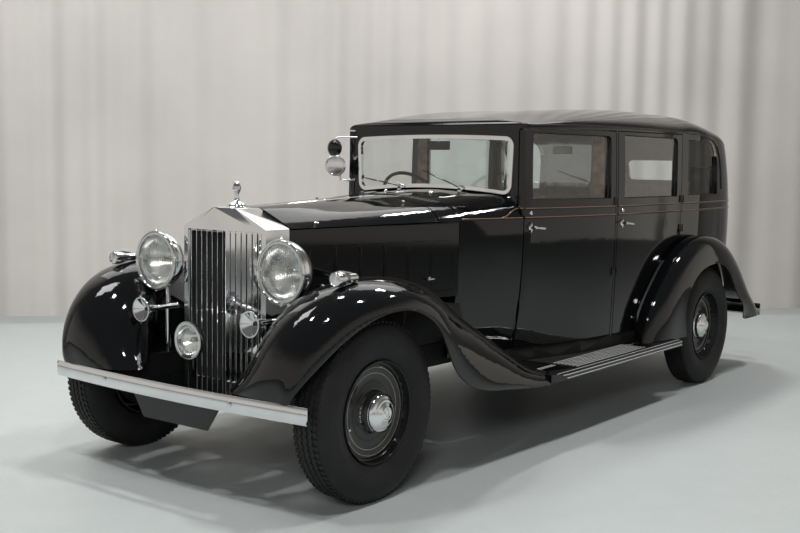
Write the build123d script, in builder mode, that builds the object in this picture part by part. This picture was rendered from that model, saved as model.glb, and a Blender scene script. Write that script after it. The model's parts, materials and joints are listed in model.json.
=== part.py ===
from build123d import *
import math
import os

os.makedirs("parts", exist_ok=True)

# Formal limousine with separate wings. Millimetres, Z up, the front faces -Y, the car's left is +X.
# The origin is on the ground, in the middle of the overall length and width.

# ---------------------------------------------------------------- driving sizes
wheelbase = 3607.0
front_overhang = 500.0          # front axle to the face of the front bumper
rear_overhang = 1223.0          # rear axle to the face of the rear bumper
front_track = 1537.0
rear_track = 1588.0

tyre_radius = 403.0
tyre_width = 190.0
rim_width = 150.0
tyre_seat_radius = 228.0
hub_cap_radius = 85.0
spindle_radius = 20.0
running_clearance = 0.05        # radial clearance of a shaft in its hub

wall = 45.0                     # door and body wall, skin to trim
door_gap = 7.0
sheet = 6.0                     # wings, valances and aprons
seat_gap = 0.3                  # between a piece and what it rests on
move_gap = 6.0                  # between a moving panel and its neighbours
wheel_arch_radius = 445.0

sill_z = 461.0
belt_z = 1200.0
moulding_z = 1250.0
cant_z = 1728.0
roof_top_z = 1852.0
roof_thickness = 40.0
belt_half = 760.0               # widest half width of the body
cowl_half = 640.0               # half width at the windscreen pillar
door_front = 1523.0             # distances behind the front axle
screen_y = 1535.0
centre_post = 2406.0
centre_post_width = 24.0
door_rear_before_axle = 237.0   # rear edge of the rear door, ahead of the rear axle
tail_face = 983.0               # rear face of the body, behind the rear axle

bonnet_thickness = 8.0
bonnet_front = 36.0             # behind the front axle
bonnet_front_half = 275.0
bonnet_side_end = 1060.0
shoulder_z = 1180.0
bonnet_front_z = 1273.0
cowl_joint = 905.0              # where the bonnet joint meets the side
cowl_joint_centre = 1000.0
cowl_joint_edge = 735.0          # at 900 mm from the centreline
cowl_joint_reach = 900.0
cowl_top_z = 1316.0
screen_base_z = 1348.0

radiator_face = -124.0
radiator_half = 275.0
radiator_bottom_z = 414.0
radiator_wall = 7.0
radiator_flange = 24.0
slat_count = 14
slat_width = 31.0
slat_thickness = 3.0
slat_angle = 38.0

wing_lip = 940.0                # half widths of the front wing
wing_crown = 715.0
rear_wing_lip = 932.0
rear_wing_crown = 835.0
board_outer = 958.0
board_top_z = 385.0
board_thickness = 40.0
board_start = 1343.0

rail_outer = 435.0
rail_width = 50.0
rail_bottom_z = 425.0
rail_height = 120.0
kingpin_half = 690.0
eye_radius = 28.0

front_axle_y = front_overhang - (front_overhang + wheelbase + rear_overhang) / 2
rear_axle_y = front_axle_y + wheelbase
tail_y = rear_axle_y + rear_overhang


def at(distance):
    """Y of a place behind the front axle."""
    return front_axle_y + distance


def aft(distance):
    """Y of a place behind the rear axle."""
    return rear_axle_y + distance


# ---------------------------------------------------------------- cabin and scuttle
# Each station: y, half widths at the sill, belt and cant rail, heights of the cant rail and roof.
cabin_stations = (
    (at(screen_y), 0.875 * cowl_half, cowl_half - 2, cowl_half - 8, cant_z - 32, roof_top_z - 104),
    (at(1715), 614, 672, 666, cant_z - 26, roof_top_z - 80),
    (at(1900), 664, 703, 697, cant_z - 20, roof_top_z - 58),
    (at(2400), 742, belt_half - 1, belt_half - 14, cant_z - 8, roof_top_z - 22),
    (at(3000), 752, belt_half, belt_half - 9, cant_z, roof_top_z),
    (aft(-107), 752, belt_half - 1, belt_half - 12, cant_z, roof_top_z - 2),
    (aft(343), 742, belt_half - 12, belt_half - 30, cant_z - 13, roof_top_z - 30),
    (aft(643), 715, belt_half - 38, belt_half - 70, cant_z - 53, roof_top_z - 87),
    (aft(823), 660, belt_half - 85, belt_half - 135, cant_z - 128, roof_top_z - 172),
    (aft(923), 585, belt_half - 155, belt_half - 225, cant_z - 228, roof_top_z - 282),
    (aft(tail_face), 490, belt_half - 250, belt_half - 330, cant_z - 368, roof_top_z - 432),
)


def cabin_section(y, low, belt, cant, rail_z, top_z, bottom_z):
    """Closed outline of the cabin at one station."""
    with BuildSketch(Plane.XZ.offset(-y)) as section:
        with BuildLine():
            rise = top_z - rail_z
            Line((-low, bottom_z), (low, bottom_z))
            Spline((low, bottom_z), (belt - 3, 900), (belt, belt_z), (cant, rail_z))
            Spline(
                (cant, rail_z), (0.88 * cant, rail_z + 0.60 * rise), (0, top_z),
                (-0.88 * cant, rail_z + 0.60 * rise), (-cant, rail_z),
                tangents=((-0.25, 1), (-0.25, -1)), tangent_scalars=(0.9, 0.9),
            )
            Spline((-cant, rail_z), (-belt, belt_z), (3 - belt, 900), (-low, bottom_z))
        make_face()
    return section.sketch


def crown_line(distance, half, low_z, high_z):
    """Points over half of the bonnet or scuttle, fuller towards the windscreen."""
    run = (distance - bonnet_front) / (screen_y - bonnet_front)
    rise = high_z - low_z
    return [(half, low_z), (0.86 * half, low_z + (0.20 + 0.46 * run) * rise),
            (0.50 * half, low_z + (0.70 + 0.20 * run) * rise), (0.27 * half, low_z + 0.965 * rise)]


def scuttle_section(distance, shift, half, low, top_z, bottom_z):
    """Closed outline of the scuttle between the bonnet and the windscreen."""
    line = crown_line(distance, half, belt_z, top_z)
    with BuildSketch(Plane.XZ.offset(-at(distance) - shift)) as section:
        with BuildLine():
            Line((-low, bottom_z), (low, bottom_z))
            Spline((low, bottom_z), (half - 14, 860), (half, belt_z))
            Spline(*line, (0, top_z), *[(-x, z) for x, z in reversed(line)])
            Spline((-half, belt_z), (14 - half, 860), (-low, bottom_z))
        make_face()
    return section.sketch


def side_half(distance):
    """Half width at the hinge line of the bonnet, which runs straight to the windscreen pillar."""
    run = (distance - bonnet_front) / (screen_y - bonnet_front)
    return bonnet_front_half + run * (cowl_half - bonnet_front_half)


scuttle_front = bonnet_side_end + move_gap
scuttle_stations = ((cowl_joint - 60, 430), (1200, 480), (screen_y + wall, 567))

header_radius = 45.0

with BuildPart() as cabin_solid:
    loft(sections=[cabin_section(*station, sill_z) for station in cabin_stations])
    # rounded edge above the windscreen
    with BuildSketch(Plane.YZ.offset(-belt_half)):
        with BuildLine():
            front, top = at(screen_y), cabin_stations[0][5] + 6
            slant = header_radius * (1 - math.sqrt(0.5))
            ThreePointArc((front + header_radius, top), (front + slant, top - slant),
                          (front, top - header_radius))
            Polyline((front, top - header_radius), (front - 10, top - header_radius), (front - 10, top + 80),
                     (front + header_radius, top + 80), (front + header_radius, top))
        make_face()
    extrude(amount=2 * belt_half, mode=Mode.SUBTRACT)

# the hollow stops one wall short of the front and of the tail
last = len(cabin_stations) - 1
with BuildPart() as cabin_space:
    hollow = []
    for index, (y, low, belt, cant, rail_z, top_z) in enumerate(cabin_stations):
        inward = wall * (index == 0) - wall * (index == last)
        hollow.append(cabin_section(y + inward, low - wall, belt - wall, cant - wall,
                                    rail_z - 10, top_z - roof_thickness, sill_z - 60))
    loft(sections=hollow)


def scuttle_sections(inset, lowered, shift, bottom_z):
    """Sections of the scuttle, widening towards the windscreen pillars."""
    sections = []
    for distance, low in scuttle_stations:
        reach = (distance - cowl_joint_centre) / (screen_y - cowl_joint_centre)
        top_z = cowl_top_z + reach * (screen_base_z - cowl_top_z)
        sections.append(scuttle_section(distance, shift, side_half(distance) - inset, low - inset,
                                        top_z - lowered, bottom_z))
    return sections


with BuildPart() as scuttle_solid:
    loft(sections=scuttle_sections(0, 0, 0, sill_z))

with BuildPart() as scuttle_space:
    loft(sections=scuttle_sections(wall, 30, 8, sill_z - 60))

# the bonnet joint is an arc in plan, further back on the centreline
with BuildPart() as cowl_cut:
    with BuildSketch(Plane.XY.offset(belt_z - 8)):
        with BuildLine():
            edge = (cowl_joint_reach, at(cowl_joint_edge))
            ThreePointArc((-edge[0], edge[1]), (0, at(cowl_joint_centre)), edge)
            Polyline(edge, (edge[0], at(0)), (-edge[0], at(0)), (-edge[0], edge[1]))
        make_face()
    extrude(amount=400)

front_door_edges = (at(door_front), at(centre_post - centre_post_width / 2))
rear_door_edges = (at(centre_post + centre_post_width / 2), aft(-door_rear_before_axle))
# heights of the door tops at the front, the centre post and the rear
door_tops = (cant_z - 40, cant_z - 24, cant_z - 16)
front_window = (at(1598), at(2336), 1300, 1672)
rear_window = (at(2500), aft(-307), 1298, 1684)
quarter_window = (aft(-137), aft(423), 1305, 1680)
window_radius = 34.0
quarter_radius = 170.0


def window_outline(front, rear, bottom, top, x, grow, back_top_radius=window_radius):
    """Window outline in a plane across the car."""
    with BuildSketch(Plane.YZ.offset(x)) as outline:
        with Locations(((front + rear) / 2, (bottom + top) / 2)):
            Rectangle(rear - front + 2 * grow, top - bottom + 2 * grow)
        back_top = outline.vertices().sort_by(lambda corner: corner.X + corner.Y)[-1]
        others = [corner for corner in outline.vertices() if corner != back_top]
        fillet(back_top, back_top_radius + grow)
        fillet(others, window_radius + grow)
    return outline.sketch


side_lights = ((front_window, window_radius), (rear_window, window_radius),
               (quarter_window, quarter_radius))
with BuildPart() as window_cuts:
    for light, radius in side_lights:
        for x in (500, -900):
            extrude(window_outline(*light, x, 0, radius), amount=400)

screen_half_top = 560.0
screen_half_bottom = 547.0
screen_bottom_z = 1320.0
screen_top_z = 1647.0
screen_arch = 34.0
screen_corner = 55.0
screen_frame_width = 22.0


def screen_outline(y, inset):
    """Windscreen outline with arched sill and header and rounded corners."""
    with BuildSketch(Plane.XZ.offset(-y)) as outline:
        low, high = screen_half_bottom - inset, screen_half_top - inset
        bottom, top = screen_bottom_z + inset, screen_top_z - inset
        with BuildLine():
            ThreePointArc((-low, bottom), (0, bottom + screen_arch), (low, bottom))
            Line((low, bottom), (high, top))
            ThreePointArc((high, top), (0, top + 14), (-high, top))
            Line((-high, top), (-low, bottom))
        make_face()
        fillet(outline.vertices(), screen_corner - inset)
    return outline.sketch


rear_light_half = 215.0
rear_light_z = (1390.0, 1545.0)
rear_light_radius = 40.0
lid_half = 330.0
lid_z = (640.0, 1085.0)
lid_radius = 45.0


def rear_panel(y, half, low_z, high_z, radius, grow):
    """Rounded outline facing the rear."""
    with BuildSketch(Plane.XZ.offset(-y)) as outline:
        with Locations((0, (low_z + high_z) / 2)):
            RectangleRounded(2 * half + 2 * grow, high_z - low_z + 2 * grow, radius + grow)
    return outline.sketch


# ---------------------------------------------------------------- wing lines
# Front wing stations. Fan: angle, lip, crown and inner radii, inner, lip and crown half widths, about
# one pivot over the wheel. Sweep: pivot behind the front axle, then the radii and inner half width.
front_pivot = (120.0, 440.0)
front_fan = (
    (176, 590, 598, 520, 305, 740, 590),
    (167, 590, 622, 425, 345, 795, 640),
    (155, 545, 636, 388, 390, 846, 680),
    (140, 500, 632, 396, 420, 884, 700),
    (124, 466, 602, 418, 455, 915, 712),
    (107, 436, 560, 462, 510, 935, wing_crown),
    (90, 410, 541, 508, 570, wing_lip, wing_crown),
    (72, 385, 549, 526, 590, wing_lip, wing_crown),
    (56, 363, 570, 550, 597, wing_lip, wing_crown),
)
sweep_angle = 42.0
front_sweep = (
    (370, 128, 478, 462, 600),
    (689, -35, 317, 301, 606),
    (986, -95, 161, 146, 612),
    (1295, -140, 5, -8, 618),
    (1576, -170, -103, -112, 620),
)
# Rear wing stations about the rear axle: angle, lip and crown radii, inner half width by the body.
rear_fan = (
    (184, 480, 955, 764),
    (172, 500, 893, 764),
    (163, 522, 832, 764),
    (151, 523, 756, 764),
    (137, 505, 702, 764),
    (123, 478, 666, 764),
    (108, 450, 642, 764),
    (92, 436, 627, 764),
    (76, 434, 623, 764),
    (60, 430, 634, 758),
    (45, 424, 660, 746),
    (31, 432, 703, 730),
    (19, 480, 760, 708),
    (8, 545, 880, 648),
    (-1, 600, 1030, 560),
)


def rear_crown_radius(angle):
    """Radius of the rear wing's crown at an angle."""
    for (high, _, r_high, _), (low, _, r_low, _) in zip(rear_fan, rear_fan[1:]):
        if low <= angle <= high:
            return r_low + (r_high - r_low) * (angle - low) / (high - low)
    raise ValueError("no such place on the wing")


def radial_plane(y, z, angle):
    """Plane across the car, with its local Y along the angle in side view."""
    a = math.radians(angle)
    return Plane(origin=(0, y, z), x_dir=(1, 0, 0), z_dir=(0, -math.sin(a), math.cos(a)))


def inner_side(points, thickness):
    """Points moved inwards by the thickness, square to the line through them."""
    moved = []
    for index, (x, r) in enumerate(points):
        before = points[max(index - 1, 0)]
        after = points[min(index + 1, len(points) - 1)]
        dx, dr = after[0] - before[0], after[1] - before[1]
        length = math.hypot(dx, dr)
        moved.append((x - thickness * dr / length, r + thickness * dx / length))
    return moved


def wing_section(plane, lip, crown, inner):
    """Thin curved strip from the outer lip over the crown to the inner edge."""
    points = []
    for turn in (90, 62, 32, 0):
        a = math.radians(turn)
        points.append((crown[0] + (lip[0] - crown[0]) * math.sin(a),
                       lip[1] + (crown[1] - lip[1]) * math.cos(a)))
    for turn in (30, 60, 90):
        a = math.radians(turn)
        points.append((crown[0] + (inner[0] - crown[0]) * math.sin(a),
                       inner[1] + (crown[1] - inner[1]) * math.cos(a)))
    back = inner_side(points, sheet)
    with BuildSketch(plane) as section:
        with BuildLine():
            Spline(*points)
            Line(points[-1], back[-1])
            Spline(*reversed(back))
            Line(back[0], points[0])
        make_face()
    return section.sketch


# ---------------------------------------------------------------- doors
def door_profile(x, edges, bottom, top, arch_grow=None):
    """Side view of a door at one plane. A rear door is cut away along the wing."""
    front, rear = edges
    with BuildSketch(Plane.YZ.offset(x)) as outline:
        with BuildLine():
            if arch_grow is None:
                Polyline((front, bottom), (rear, bottom), (rear, top[1]), (front, top[0]), close=True)
            else:
                arch = []
                for angle in (111.0, 123.0, 137.0, 151.0, 163.0, 172.0):
                    radius = rear_crown_radius(angle) + arch_grow
                    arch.append((aft(radius * math.cos(math.radians(angle))),
                                 tyre_radius + radius * math.sin(math.radians(angle))))
                corner = (arch[-1][0] - 40, bottom)
                Spline(*arch)
                Polyline(arch[-1], corner, (front, bottom), (front, top[0]), (rear, top[1]),
                         (rear, arch[0][1]), arch[0])
        make_face()
    return outline.sketch


front_shear = 0.33              # the front shut face leans forward as it runs outward
rear_shear = 0.12
arch_clearance = 18.0
door_reach = 460.0
inner_x = 420.0
corner_x = screen_half_top + 30
skin_x = belt_half
half_gap = door_gap / 2
door_bottom_z = sill_z + move_gap


def door_sections(edges, grow, bottom, top, shear, reference_x, start=inner_x, arch_grow=None):
    """Two side views of a door, the outer one with its front edge further forward."""
    sections = []
    for x in (start, start + door_reach):
        front = edges[0] + shear * (reference_x - x) - grow
        high = (top[0] + grow, top[1] + grow)
        sections.append(door_profile(x, (front, edges[1] + grow), bottom, high, arch_grow))
    return sections


upper_edges = (at(screen_y - 60), front_door_edges[1])
belt_top = (moulding_z, moulding_z)
front_top, rear_top = door_tops[:2], door_tops[1:]
with BuildPart() as front_door_space:
    loft(sections=door_sections(front_door_edges, half_gap, sill_z - 40, belt_top, front_shear, cowl_half))
    loft(sections=door_sections(upper_edges, half_gap, moulding_z - 40, front_top, front_shear, skin_x,
                                corner_x - half_gap))

with BuildPart() as front_door_block:
    loft(sections=door_sections(front_door_edges, -half_gap, door_bottom_z, belt_top, front_shear,
                                cowl_half))
    loft(sections=door_sections(upper_edges, -half_gap, moulding_z - 40, front_top, front_shear, skin_x,
                                corner_x + half_gap))

with BuildPart() as rear_door_space:
    loft(sections=door_sections(rear_door_edges, half_gap, sill_z - 40, rear_top, rear_shear, skin_x,
                                arch_grow=arch_clearance - door_gap))

with BuildPart() as rear_door_block:
    loft(sections=door_sections(rear_door_edges, -half_gap, door_bottom_z, rear_top, rear_shear, skin_x,
                                arch_grow=arch_clearance))

# hinge pins stand just outside the skin at the rear edges of the doors
hinge_x = belt_half + 8.0
hinge_behind_edge = 4.0
hinge_radius = 5.0
hinge_height = 50.0
hinge_leaf = 16.0
front_hinge_y = front_door_edges[1] + hinge_behind_edge
rear_hinge_y = rear_door_edges[1] + hinge_behind_edge
door_hinges = ((front_hinge_y, (830, 1255)), (rear_hinge_y, (1060, 1255)))


def hinge_leaves(y, heights, start, length):
    """Blocks beside a pair of hinge pins, from the skin out to the pins' axis."""
    with BuildPart() as leaves:
        for z in heights:
            with Locations((hinge_x - hinge_leaf, y + start, z)):
                Box(hinge_leaf, length, hinge_height, align=(Align.MIN, Align.MIN, Align.MIN))
    return leaves.part


# ================================================================ body shell and doors
with BuildPart() as whole_shell:
    add(cabin_solid.part)
    add(scuttle_solid.part)
    add(cabin_space.part, mode=Mode.SUBTRACT)
    add(scuttle_space.part, mode=Mode.SUBTRACT)
    add(cowl_cut.part, mode=Mode.SUBTRACT)
    # below the belt the scuttle starts at its shut line with the bonnet sides
    with BuildSketch(Plane.XY.offset(sill_z - 1)):
        with Locations((0, at(0))):
            Rectangle(4 * belt_half, 2 * scuttle_front)
    extrude(amount=belt_z - sill_z - 5, mode=Mode.SUBTRACT)
    # room for the chassis rails
    with Locations((0, at(scuttle_front), sill_z - 1)):
        Box(2 * rail_outer + 2 * move_gap, 200, 90, align=(Align.CENTER, Align.CENTER, Align.MIN),
            mode=Mode.SUBTRACT)
    add(window_cuts.part, mode=Mode.SUBTRACT)
    extrude(screen_outline(at(screen_y - 60), 0), amount=-160, mode=Mode.SUBTRACT)
    extrude(rear_panel(tail_y - 600, rear_light_half, *rear_light_z, rear_light_radius, 0),
            amount=-700, mode=Mode.SUBTRACT)

with BuildPart() as body_shell:
    add(whole_shell.part)
    for space in (front_door_space, rear_door_space):
        add(space.part, mode=Mode.SUBTRACT)
        add(space.part.mirror(Plane.YZ), mode=Mode.SUBTRACT)
    extrude(rear_panel(tail_y - 400, lid_half, *lid_z, lid_radius, move_gap / 2),
            amount=-500, mode=Mode.SUBTRACT)
    # rear wheel arches
    with BuildSketch(Plane.YZ.offset(-belt_half - wall)):
        with Locations((aft(0), tyre_radius)):
            Circle(wheel_arch_radius)
    extrude(amount=2 * (belt_half + wall), mode=Mode.SUBTRACT)
body_shell.part.label = "body_shell"
export_step(body_shell.part, "parts/body_shell.step")

with BuildPart() as boot_lid:
    add(whole_shell.part)
    extrude(rear_panel(tail_y - 400, lid_half, *lid_z, lid_radius, -move_gap / 2),
            amount=-500, mode=Mode.INTERSECT)
boot_lid.part.label = "boot_lid"
export_step(boot_lid.part, "parts/boot_lid.step")

with BuildPart() as door_hinge_pins:
    for y, heights in door_hinges:
        for z in heights:
            with BuildSketch(Plane.XY.offset(z)):
                with Locations((hinge_x, y)):
                    Circle(hinge_radius)
            extrude(amount=hinge_height)
        add(hinge_leaves(y, heights, 0, hinge_leaf))
    add(whole_shell.part, mode=Mode.SUBTRACT)
    mirror(about=Plane.YZ)
door_hinge_pins.part.label = "door_hinge_pins"
export_step(door_hinge_pins.part, "parts/door_hinge_pins.step")

for block, place in ((front_door_block, "front"), (rear_door_block, "rear")):
    with BuildPart() as door:
        add(whole_shell.part)
        add(block.part, mode=Mode.INTERSECT)
        y, heights = door_hinges[place == "rear"]
        add(hinge_leaves(y, heights, -hinge_radius - seat_gap - hinge_leaf, hinge_leaf))
    for side in ("left", "right"):
        panel = door.part if side == "left" else door.part.mirror(Plane.YZ)
        panel.label = f"{place}_door_{side}"
        export_step(panel, f"parts/{place}_door_{side}.step")

# ================================================================ glass
glass_thickness = 6.0
glass_fit = seat_gap


def pane(light, radius, front_x, rear_x):
    """Flat glass inside a window opening, its plan line between two depths in the wall."""
    front, rear = light[0], light[1]
    with BuildPart() as glass:
        extrude(window_outline(*light, 500, -glass_fit, radius), amount=400)
        with BuildSketch(Plane.XY.offset(light[2] - 50)):
            with BuildLine():
                half = glass_thickness / 2
                Polyline((front_x - half, front), (rear_x - half, rear), (rear_x + half, rear),
                         (front_x + half, front), close=True)
            make_face()
        extrude(amount=light[3] - light[2] + 100, mode=Mode.INTERSECT)
    return glass.part


mid = wall / 2
front_pane = pane(front_window, window_radius, 651 - mid, 750 - mid)
rear_pane = pane(rear_window, window_radius, 754 - mid, 754 - mid)
quarter_pane = pane(quarter_window, quarter_radius, 753 - mid, 733 - mid)
for panel, place in ((front_pane, "front"), (rear_pane, "rear")):
    for side in ("left", "right"):
        glass = panel if side == "left" else panel.mirror(Plane.YZ)
        glass.label = f"{place}_door_glass_{side}"
        export_step(glass, f"parts/{place}_door_glass_{side}.step")

screen_proud = 7.0
screen_frame_depth = 26.0
with BuildPart() as windscreen_frame:
    extrude(screen_outline(at(screen_y) - screen_proud, glass_fit), amount=-screen_frame_depth)
    extrude(screen_outline(at(screen_y) - screen_proud, screen_frame_width),
            amount=-screen_frame_depth, mode=Mode.SUBTRACT)
windscreen_frame.part.label = "windscreen_frame"
export_step(windscreen_frame.part, "parts/windscreen_frame.step")

tail_slope = 40.0               # run of the tail over the height of the rear window
with BuildPart() as rear_pane_block:
    with BuildSketch(Plane.YZ.offset(-rear_light_half)):
        with BuildLine():
            top_y, low_y = aft(966 - tail_slope), aft(966)
            Polyline((low_y, rear_light_z[0]), (low_y + 2 * glass_thickness, rear_light_z[0]),
                     (top_y + 2 * glass_thickness, rear_light_z[1]), (top_y, rear_light_z[1]), close=True)
        make_face()
    extrude(amount=2 * rear_light_half)
    extrude(rear_panel(tail_y - 600, rear_light_half, *rear_light_z, rear_light_radius, -glass_fit),
            amount=-700, mode=Mode.INTERSECT)

with BuildPart() as fixed_glass:
    add(quarter_pane)
    add(quarter_pane.mirror(Plane.YZ))
    extrude(screen_outline(at(screen_y) + 4, screen_frame_width + glass_fit), amount=-glass_thickness)
    add(rear_pane_block.part)
fixed_glass.part.label = "fixed_glass"
export_step(fixed_glass.part, "parts/fixed_glass.step")

# ================================================================ bonnet
hinge_pin_radius = 4.0
hinge_half = hinge_pin_radius + seat_gap


def bonnet_crown_z(distance):
    """Height of the bonnet's centreline."""
    run = (distance - bonnet_front) / (cowl_joint_centre - bonnet_front)
    return bonnet_front_z + run * (cowl_top_z - bonnet_front_z)


def bonnet_shoulder_z(distance):
    """Height of the bonnet's side hinge line."""
    run = (distance - bonnet_front) / (bonnet_side_end - bonnet_front)
    return shoulder_z + run * (belt_z - 4 - shoulder_z)


def bonnet_section(distance):
    """Strip from the centre hinge down to the side hinge."""
    half, low, high = side_half(distance), bonnet_shoulder_z(distance), bonnet_crown_z(distance)
    points = [(hinge_half, high), *reversed(crown_line(distance, half, low, high))]
    under = [(x - bonnet_thickness * (index > 2), z - bonnet_thickness * (index < 4))
             for index, (x, z) in enumerate(points)]
    with BuildSketch(Plane.XZ.offset(-at(distance))) as section:
        with BuildLine():
            Spline(*points)
            Line(points[-1], under[-1])
            Spline(*reversed(under))
            Line(under[0], points[0])
        make_face()
    return section.sketch


with BuildPart() as bonnet_left:
    loft(sections=[bonnet_section(distance) for distance in
                   (bonnet_front + move_gap, 480, cowl_joint_centre + 10)])
    # ends on the scuttle's curved joint
    with BuildSketch(Plane.XY.offset(shoulder_z - 50)):
        with BuildLine():
            edge = (cowl_joint_reach, at(cowl_joint_edge) - move_gap)
            ThreePointArc(edge, (0, at(cowl_joint_centre) - move_gap), (-edge[0], edge[1]))
            Polyline((-edge[0], edge[1]), (-edge[0], at(0)), (edge[0], at(0)), edge)
        make_face()
    extrude(amount=300, mode=Mode.INTERSECT)
bonnet_left.part.label = "bonnet_left"
export_step(bonnet_left.part, "parts/bonnet_left.step")
bonnet_right = bonnet_left.part.mirror(Plane.YZ)
bonnet_right.label = "bonnet_right"
export_step(bonnet_right, "parts/bonnet_right.step")

bonnet_side_foot = 800.0
radiator_back = 30.0
with BuildPart() as bonnet_sides:
    panels = []
    for distance in (radiator_back + seat_gap, bonnet_side_end):
        half, top = side_half(distance), bonnet_shoulder_z(distance) - move_gap
        with BuildSketch(Plane.XZ.offset(-at(distance))) as section:
            with BuildLine():
                Polyline((half - sheet, bonnet_side_foot), (half, bonnet_side_foot), (half, top),
                         (half - sheet, top), close=True)
            make_face()
        panels.append(section.sketch)
    loft(sections=panels)
    mirror(about=Plane.YZ)
bonnet_sides.part.label = "bonnet_sides"
export_step(bonnet_sides.part, "parts/bonnet_sides.step")

# ================================================================ inner valances
rail_seat = (425, 545.3)
valance_stations = (
    # distance, point on the rail, fold by the bonnet, edge by the wing
    (-60, rail_seat, (300, 780), (474, 826)),
    (36, rail_seat, (285, 794), (524, 896)),
    (120, rail_seat, (304, 794), (560, 936)),
    (340, rail_seat, (358, 794), (582, 918)),
    (427, rail_seat, (376, 794), (588, 886)),
    (560, rail_seat, (410, 794), (590, 824)),
    (704, rail_seat, (446, 792), (592, 746)),
    (913, rail_seat, (495, 780), (598, 634)),
    (1060, rail_seat, (531, 760), (604, 550)),
)
# distance, edge by the scuttle, edge by the wing
skirt_stations = (
    (1072, (476, 600), (604, 543)),
    (1150, (491, 600), (606, 503)),
    (1240, (510, 600), (608, 456)),
    (1289, (514, 560), (609, 430)),
    (1343, (515, 520), (610, 406)),
    (1400, (519, 480), (611, 392)),
)


def folded_strip(places, shift):
    """Ruled strip between two lines of points, one shift thick."""
    strips = []
    for distance, start, end in places:
        with BuildSketch(Plane.XZ.offset(-at(distance))) as section:
            with BuildLine():
                Polyline(start, end, (end[0] + shift[0], end[1] + shift[1]),
                         (start[0] + shift[0], start[1] + shift[1]), close=True)
            make_face()
        strips.append(section.sketch)
    return loft(sections=strips, ruled=True)


with BuildPart() as inner_valances:
    add(folded_strip([(distance, foot, fold) for distance, foot, fold, _ in valance_stations], (5, 0)))
    add(folded_strip([(distance, fold, edge) for distance, _, fold, edge in valance_stations], (-1, -6)))
    add(folded_strip(skirt_stations, (-1, -6)))
    add(body_shell.part, mode=Mode.SUBTRACT)
    mirror(about=Plane.YZ)
inner_valances.part.label = "inner_valances"
export_step(inner_valances.part, "parts/inner_valances.step")

# ================================================================ wings
bumper_top_z = 496.0
wing_clear = 4.0
with BuildPart() as front_wings:
    sections = []
    for angle, lip, crown, inner, inner_half, lip_half, crown_half in front_fan:
        plane = radial_plane(at(front_pivot[0]), front_pivot[1], angle)
        sections.append(wing_section(plane, (lip_half, lip), (crown_half, crown), (inner_half, inner)))
    for distance, lip, crown, inner, inner_half in front_sweep:
        plane = radial_plane(at(distance), front_pivot[1], sweep_angle)
        sections.append(wing_section(plane, (wing_lip, lip), (wing_crown, crown), (inner_half, inner)))
    loft(sections=sections)
    # the foot stands on the running board, and the nose ends above the bumper
    with Locations((0, at(board_start) - seat_gap, board_top_z + seat_gap)):
        Box(4 * belt_half, 600, 400, align=(Align.CENTER, Align.MIN, Align.MAX), mode=Mode.SUBTRACT)
    with Locations((0, at(front_pivot[0]) - 300, bumper_top_z + wing_clear)):
        Box(4 * belt_half, 600, 400, align=(Align.CENTER, Align.MAX, Align.MAX), mode=Mode.SUBTRACT)
    mirror(about=Plane.YZ)
front_wings.part.label = "front_wings"
export_step(front_wings.part, "parts/front_wings.step")

with BuildPart() as rear_wings:
    sections = []
    for angle, lip, crown, inner_half in rear_fan:
        plane = radial_plane(aft(0), tyre_radius, angle)
        sections.append(wing_section(plane, (rear_wing_lip, lip), (rear_wing_crown, crown),
                                     (inner_half, crown - 14)))
    loft(sections=sections)
    with Locations((0, aft(0), board_top_z + seat_gap)):
        Box(4 * belt_half, 4000, 400, align=(Align.CENTER, Align.CENTER, Align.MAX), mode=Mode.SUBTRACT)
    mirror(about=Plane.YZ)
rear_wings.part.label = "rear_wings"
export_step(rear_wings.part, "parts/rear_wings.step")

apron_half = 296.0
apron_z = 447.3
apron_front = -441.0
apron_length = 312.0
tray_front = -422.3             # hanging tray below the apron
with BuildPart() as front_apron:
    with Locations((0, at(apron_front), apron_z)):
        Box(2 * apron_half, apron_length, sheet, align=(Align.CENTER, Align.MIN, Align.MIN))
    with BuildSketch(Plane.XZ.offset(-at(tray_front))):
        with BuildLine():
            Polyline((-215, 300), (215, 300), (300, 424), (300, apron_z), (-300, apron_z), (-300, 424),
                     close=True)
        make_face()
    extrude(amount=sheet)
front_apron.part.label = "front_apron"
export_step(front_apron.part, "parts/front_apron.step")

# ================================================================ running boards and sills
sill_line = ((1260, 494), (1440, 532), (screen_y, 560), (1715, 612), (1900, 662), (2100, 710), (2400, 741),
             (3000, 751), (3150, 751))


def sill_half(distance):
    """Half width of the body's lower edge."""
    for (start, low), (end, high) in zip(sill_line, sill_line[1:]):
        if distance <= end:
            return low + (high - low) * (distance - start) / (end - start)
    return sill_line[-1][1]


def sill_band(outer_inset, inner_inset, bottom_z, height):
    """Wall that follows the body's lower edge, for both sides."""
    outer = [(half - outer_inset, at(distance)) for distance, half in sill_line]
    inner = [(half - inner_inset, at(distance)) for distance, half in reversed(sill_line)]
    with BuildSketch(Plane.XY.offset(bottom_z)) as plan:
        with BuildLine():
            Polyline(*outer, *inner, close=True)
        make_face()
        mirror(about=Plane.YZ)
    return extrude(plan.sketch, amount=height)


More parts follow.
